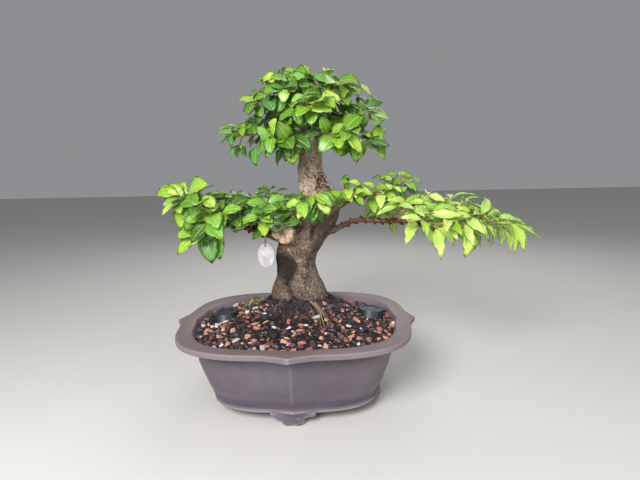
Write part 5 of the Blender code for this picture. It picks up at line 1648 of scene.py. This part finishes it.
def makeLumps(bedTree):
    values = soilValues
    draw = random.Random(values["lumpSeed"])
    bm = bmesh.new()
    for x, y, size in values["lumps"]:
        hit = landOn(bedTree, x, y)
        if hit is None:
            continue
        ball = bmesh.ops.create_icosphere(bm, subdivisions=2, radius=mm(size / 2))["verts"]
        turn = Matrix.Rotation(draw.uniform(0, pi), 4, "Z") @ Matrix.Rotation(draw.uniform(-0.4, 0.4), 4, "X")
        for vert in ball:
            rough = 1 + 0.35 * noise.noise(vert.co * 260 + Vector((x, y, 0)))
            flat = vert.co * rough * Vector((1, 0.7, 0.5))
            vert.co = hit + turn @ flat + up * mm(size) * values["lumpRaise"]
    # Charred bark: flat and angular, black, split and slightly shiny
    charred = mottledMaterial("charredBark", (380.0, 4.0, 0.5), (
        (0.35, "#08080a"), (0.55, "#19181b"), (0.7, "#39363a")), (0.7, 0.0008), Roughness=0.6)
    finishPiece(bmeshObject("charredLumps", bm), (), charred)


def makeSoil():
    values = soilValues
    bed, patch, bedTree = soilBed()
    finishPiece(bed, ("soil",), groundMaterial())
    forms, tree = grainForms(), grainTree()
    gravel = grainMaterial("pottingGravel", values["tints"])
    fine = grainMaterial("fineGravel", values["fineTints"])
    moss = grainMaterial("cushionMoss", values["mossTints"])
    rows = [(*layer, gravelCover, values["chipTilt"], gravel) for layer in values["layers"]]
    rows[0] = (*rows[0][:-1], fine)
    for name, spacing, smallest, largest, sink, seed, cover, tilt, material in (
            *rows, ("mossTufts", *values["mossTufts"], mossShare, values["tuftTilt"], moss)):
        mesh = patch.copy()
        setAttribute(mesh, "grainCover", [cover(*flatPlace(vert.co)) for vert in mesh.vertices])
        piece = growTree(linkObject(name, mesh), tree, {
            "Spacing": spacing, "Smallest": smallest / 2, "Largest": largest / 2, "Sink": sink / 2, "Tilt": tilt,
            "Seed": seed, "Grain Forms": forms, "Material": material})
        finishPiece(piece)
    makeLumps(bedTree)
    makeRoots(bedTree)
    print("soil and gravel made")


makeSoil()


# Feed caps and cakes, the tag on its wire ring, and the nets over the drain holes

trimValues = {
    "capTop": 0.0160, "capBase": 0.0175, "capHeight": 0.0105, "capWall": 0.0015, "steps": 64,
    "caps": (("left", -92.5, 12.0, 95.5, -7), ("right", 96.0, 20.0, 95.5, 5)),   # name, place and lean
    "holes": 4, "holeRing": 0.0085, "holeRadius": 0.0016, "holeDepth": 0.008,
    "tagShare": 0.455, "tagWide": 0.021, "tagHigh": 0.031, "tagThick": 0.001,
    "tagHole": 0.0017, "tagHoleDrop": 0.0036, "tagWire": 0.00045, "tagDrop": 0.0165, "tagSlack": 0.0012,
    "ringSteps": 40,
}
ahead, aside = Vector((1, 0, 0)), Vector((0, 1, 0))


def makeCaps():
    # Moulded polypropylene, slate blue, dulled by water and dust
    plastic = mottledMaterial("mouldedPolypropylene", (160.0, 4.0, 0.6), (
        (0.35, "#0e161d"), (0.55, "#16212b"), (0.75, "#2c353e")), Roughness=(0.3, 0.6))
    values = trimValues
    top, base, height, wall = values["capTop"], values["capBase"], values["capHeight"], values["capWall"]
    profile = ((0.0, height - 0.0012), (0.0118, height - 0.0012), (0.0124, height - 0.0004), (0.0130, height),
               (top - 0.0010, height), (top - 0.0003, height - 0.0003), (top, height - 0.0010),
               (base - 0.0002, 0.0012), (base, 0.0008), (base, 0.0),
               (base - wall, 0.0), (top - wall, height - wall - 0.0012), (0.0, height - wall - 0.0012))
    for name, x, y, z, lean in values["caps"]:
        turned = Matrix.Translation(point((x, y, z))) @ Matrix.Rotation(radians(lean), 4, "Y")
        bm = bmesh.new()
        loftRings(bm, [[turned @ spot for spot in circle(up * level, ahead, aside, radius, values["steps"])]
                       for radius, level in profile], "open")
        cap = bmeshObject("cap" + name.capitalize(), bm, 0.00001)
        spots = circle(up * height, ahead, aside, values["holeRing"], values["holes"], 0.3 * 2 * pi / values["holes"])
        boreHoles(cap, [turned @ Matrix.Translation(spot) for spot in spots], values["holeRadius"],
                  values["holeDepth"], 16)
        finishPiece(cap, ("feed_cap_" + name,), plastic, 35)


def tagMaterial(centre):
    # White card sealed in vinyl: smooth, a little shiny, with one faint crease across it, drawn as a pale painted
    # highlight line
    material, shader, add, place = newMaterial("whiteVinylTag")
    dirt = add("TexNoise", {"Vector": place, "Scale": 120.0, "Detail": 4.0})
    base = add("ValToRGB", {"Fac": dirt}, ((0.3, "#a39ca2"), (0.6, "#bbb4ba")))
    # the crease's painted highlight line runs down to the right: 0.7 x + 0.7 z, measured about the tag's middle
    parts = add("SeparateXYZ", {"Vector": place}).outputs
    across = add("Math", {0: parts["X"], 1: parts["Z"]}, operation="ADD")
    slant = add("Math", {0: across, 1: 0.7, 2: -0.7 * (centre.x + centre.z)}, operation="MULTIPLY_ADD")
    away = add("Math", {0: slant}, operation="ABSOLUTE")
    line = add("MapRange", {"Value": away, "From Min": 0.0001, "From Max": 0.0006, "To Min": 0.4, "To Max": 0.0})
    creaseHighlight = add("Mix", {"Factor": line, "A": base, "B": "#efebf0"}, data_type="RGBA")
    setInputs(shader, {"Base Color": creaseHighlight, "Roughness": 0.32})
    return material


def makeTag():
    values = trimValues
    line = bearerLine("left")
    hang = atDistance(line, values["tagShare"] * distances(line)[-1])
    hole = hang - up * values["tagDrop"]
    middle = hole + up * (values["tagHoleDrop"] - values["tagHigh"] / 2)
    half = values["tagThick"] / 2
    inner = circle(hole, ahead, up, values["tagHole"], values["steps"])
    rim = circle(middle, ahead * values["tagWide"] / 2, up * values["tagHigh"] / 2, 1, values["steps"])
    bm = bmesh.new()
    # round the hole, out over the rounded margin and back behind
    loftRings(bm, [[a.lerp(b, share) + aside * depth for a, b in zip(inner, rim)] for share, depth in (
        (0.0, -half), (0.985, -half), (1.0, -half * 0.5), (1.0, half * 0.5), (0.985, half), (0.0, half))], "joined")
    finishPiece(bmeshObject("ovalTag", bm), ("tag",), tagMaterial(middle), 40)

    left = next(wire for wire in wireValues["coils"] if wire.limb == "left")
    over = bearerRadius("left", values["tagShare"]) + 2 * left.radius + 0.0006 + values["tagWire"] + values["tagSlack"]
    low = values["tagDrop"] - values["tagHole"] + values["tagWire"] + 0.0003
    ring = []
    for i in range(values["ringSteps"]):
        angle = 2 * pi * i / values["ringSteps"]
        under = clamp(0.5 - 2.2 * sin(angle))
        drop = over + (low - over) * under
        ring.append(hang + Vector((0, over * (1 - 0.25 * under) * cos(angle), drop * sin(angle))))
    # Thin galvanised tying wire, grey and slightly dull
    steel = mottledMaterial("galvanisedTyingWire", (600.0, 2.0, 0.5), ((0.35, "#6f6f72"), (0.65, "#a9aaad")),
                            Metallic=1.0, Roughness=0.42)
    finishPiece(makeTubes("tagRing", [(ring, [values["tagWire"]] * len(ring))], 8, steel, True),
                ("tag_wire",))


def paintCarried():
    # the carried-over solids that stay as they are get their own finishes
    # Pressed organic feed: crumbly and matte
    cake = mottledMaterial("pressedFeedCake", (500.0, 5.0, 0.7), ((0.3, "#3c2a1a"), (0.7, "#73583a")),
                           (0.8, 0.0008), Roughness=0.95)
    # Drawn polyethylene net: black, slightly shiny, scuffed
    net = mottledMaterial("polyethyleneNet", (300.0, 3.0, 0.5), ((0.4, "#101012"), (0.7, "#2b2b2e")), Roughness=0.5)
    for name, material in (("feed_cake_left", cake), ("feed_cake_right", cake),
                           ("drainage_mesh_left", net), ("drainage_mesh_right", net)):
        cadNodes[name].data.materials.clear()
        cadNodes[name].data.materials.append(material)


makeCaps()
makeTag()
paintCarried()
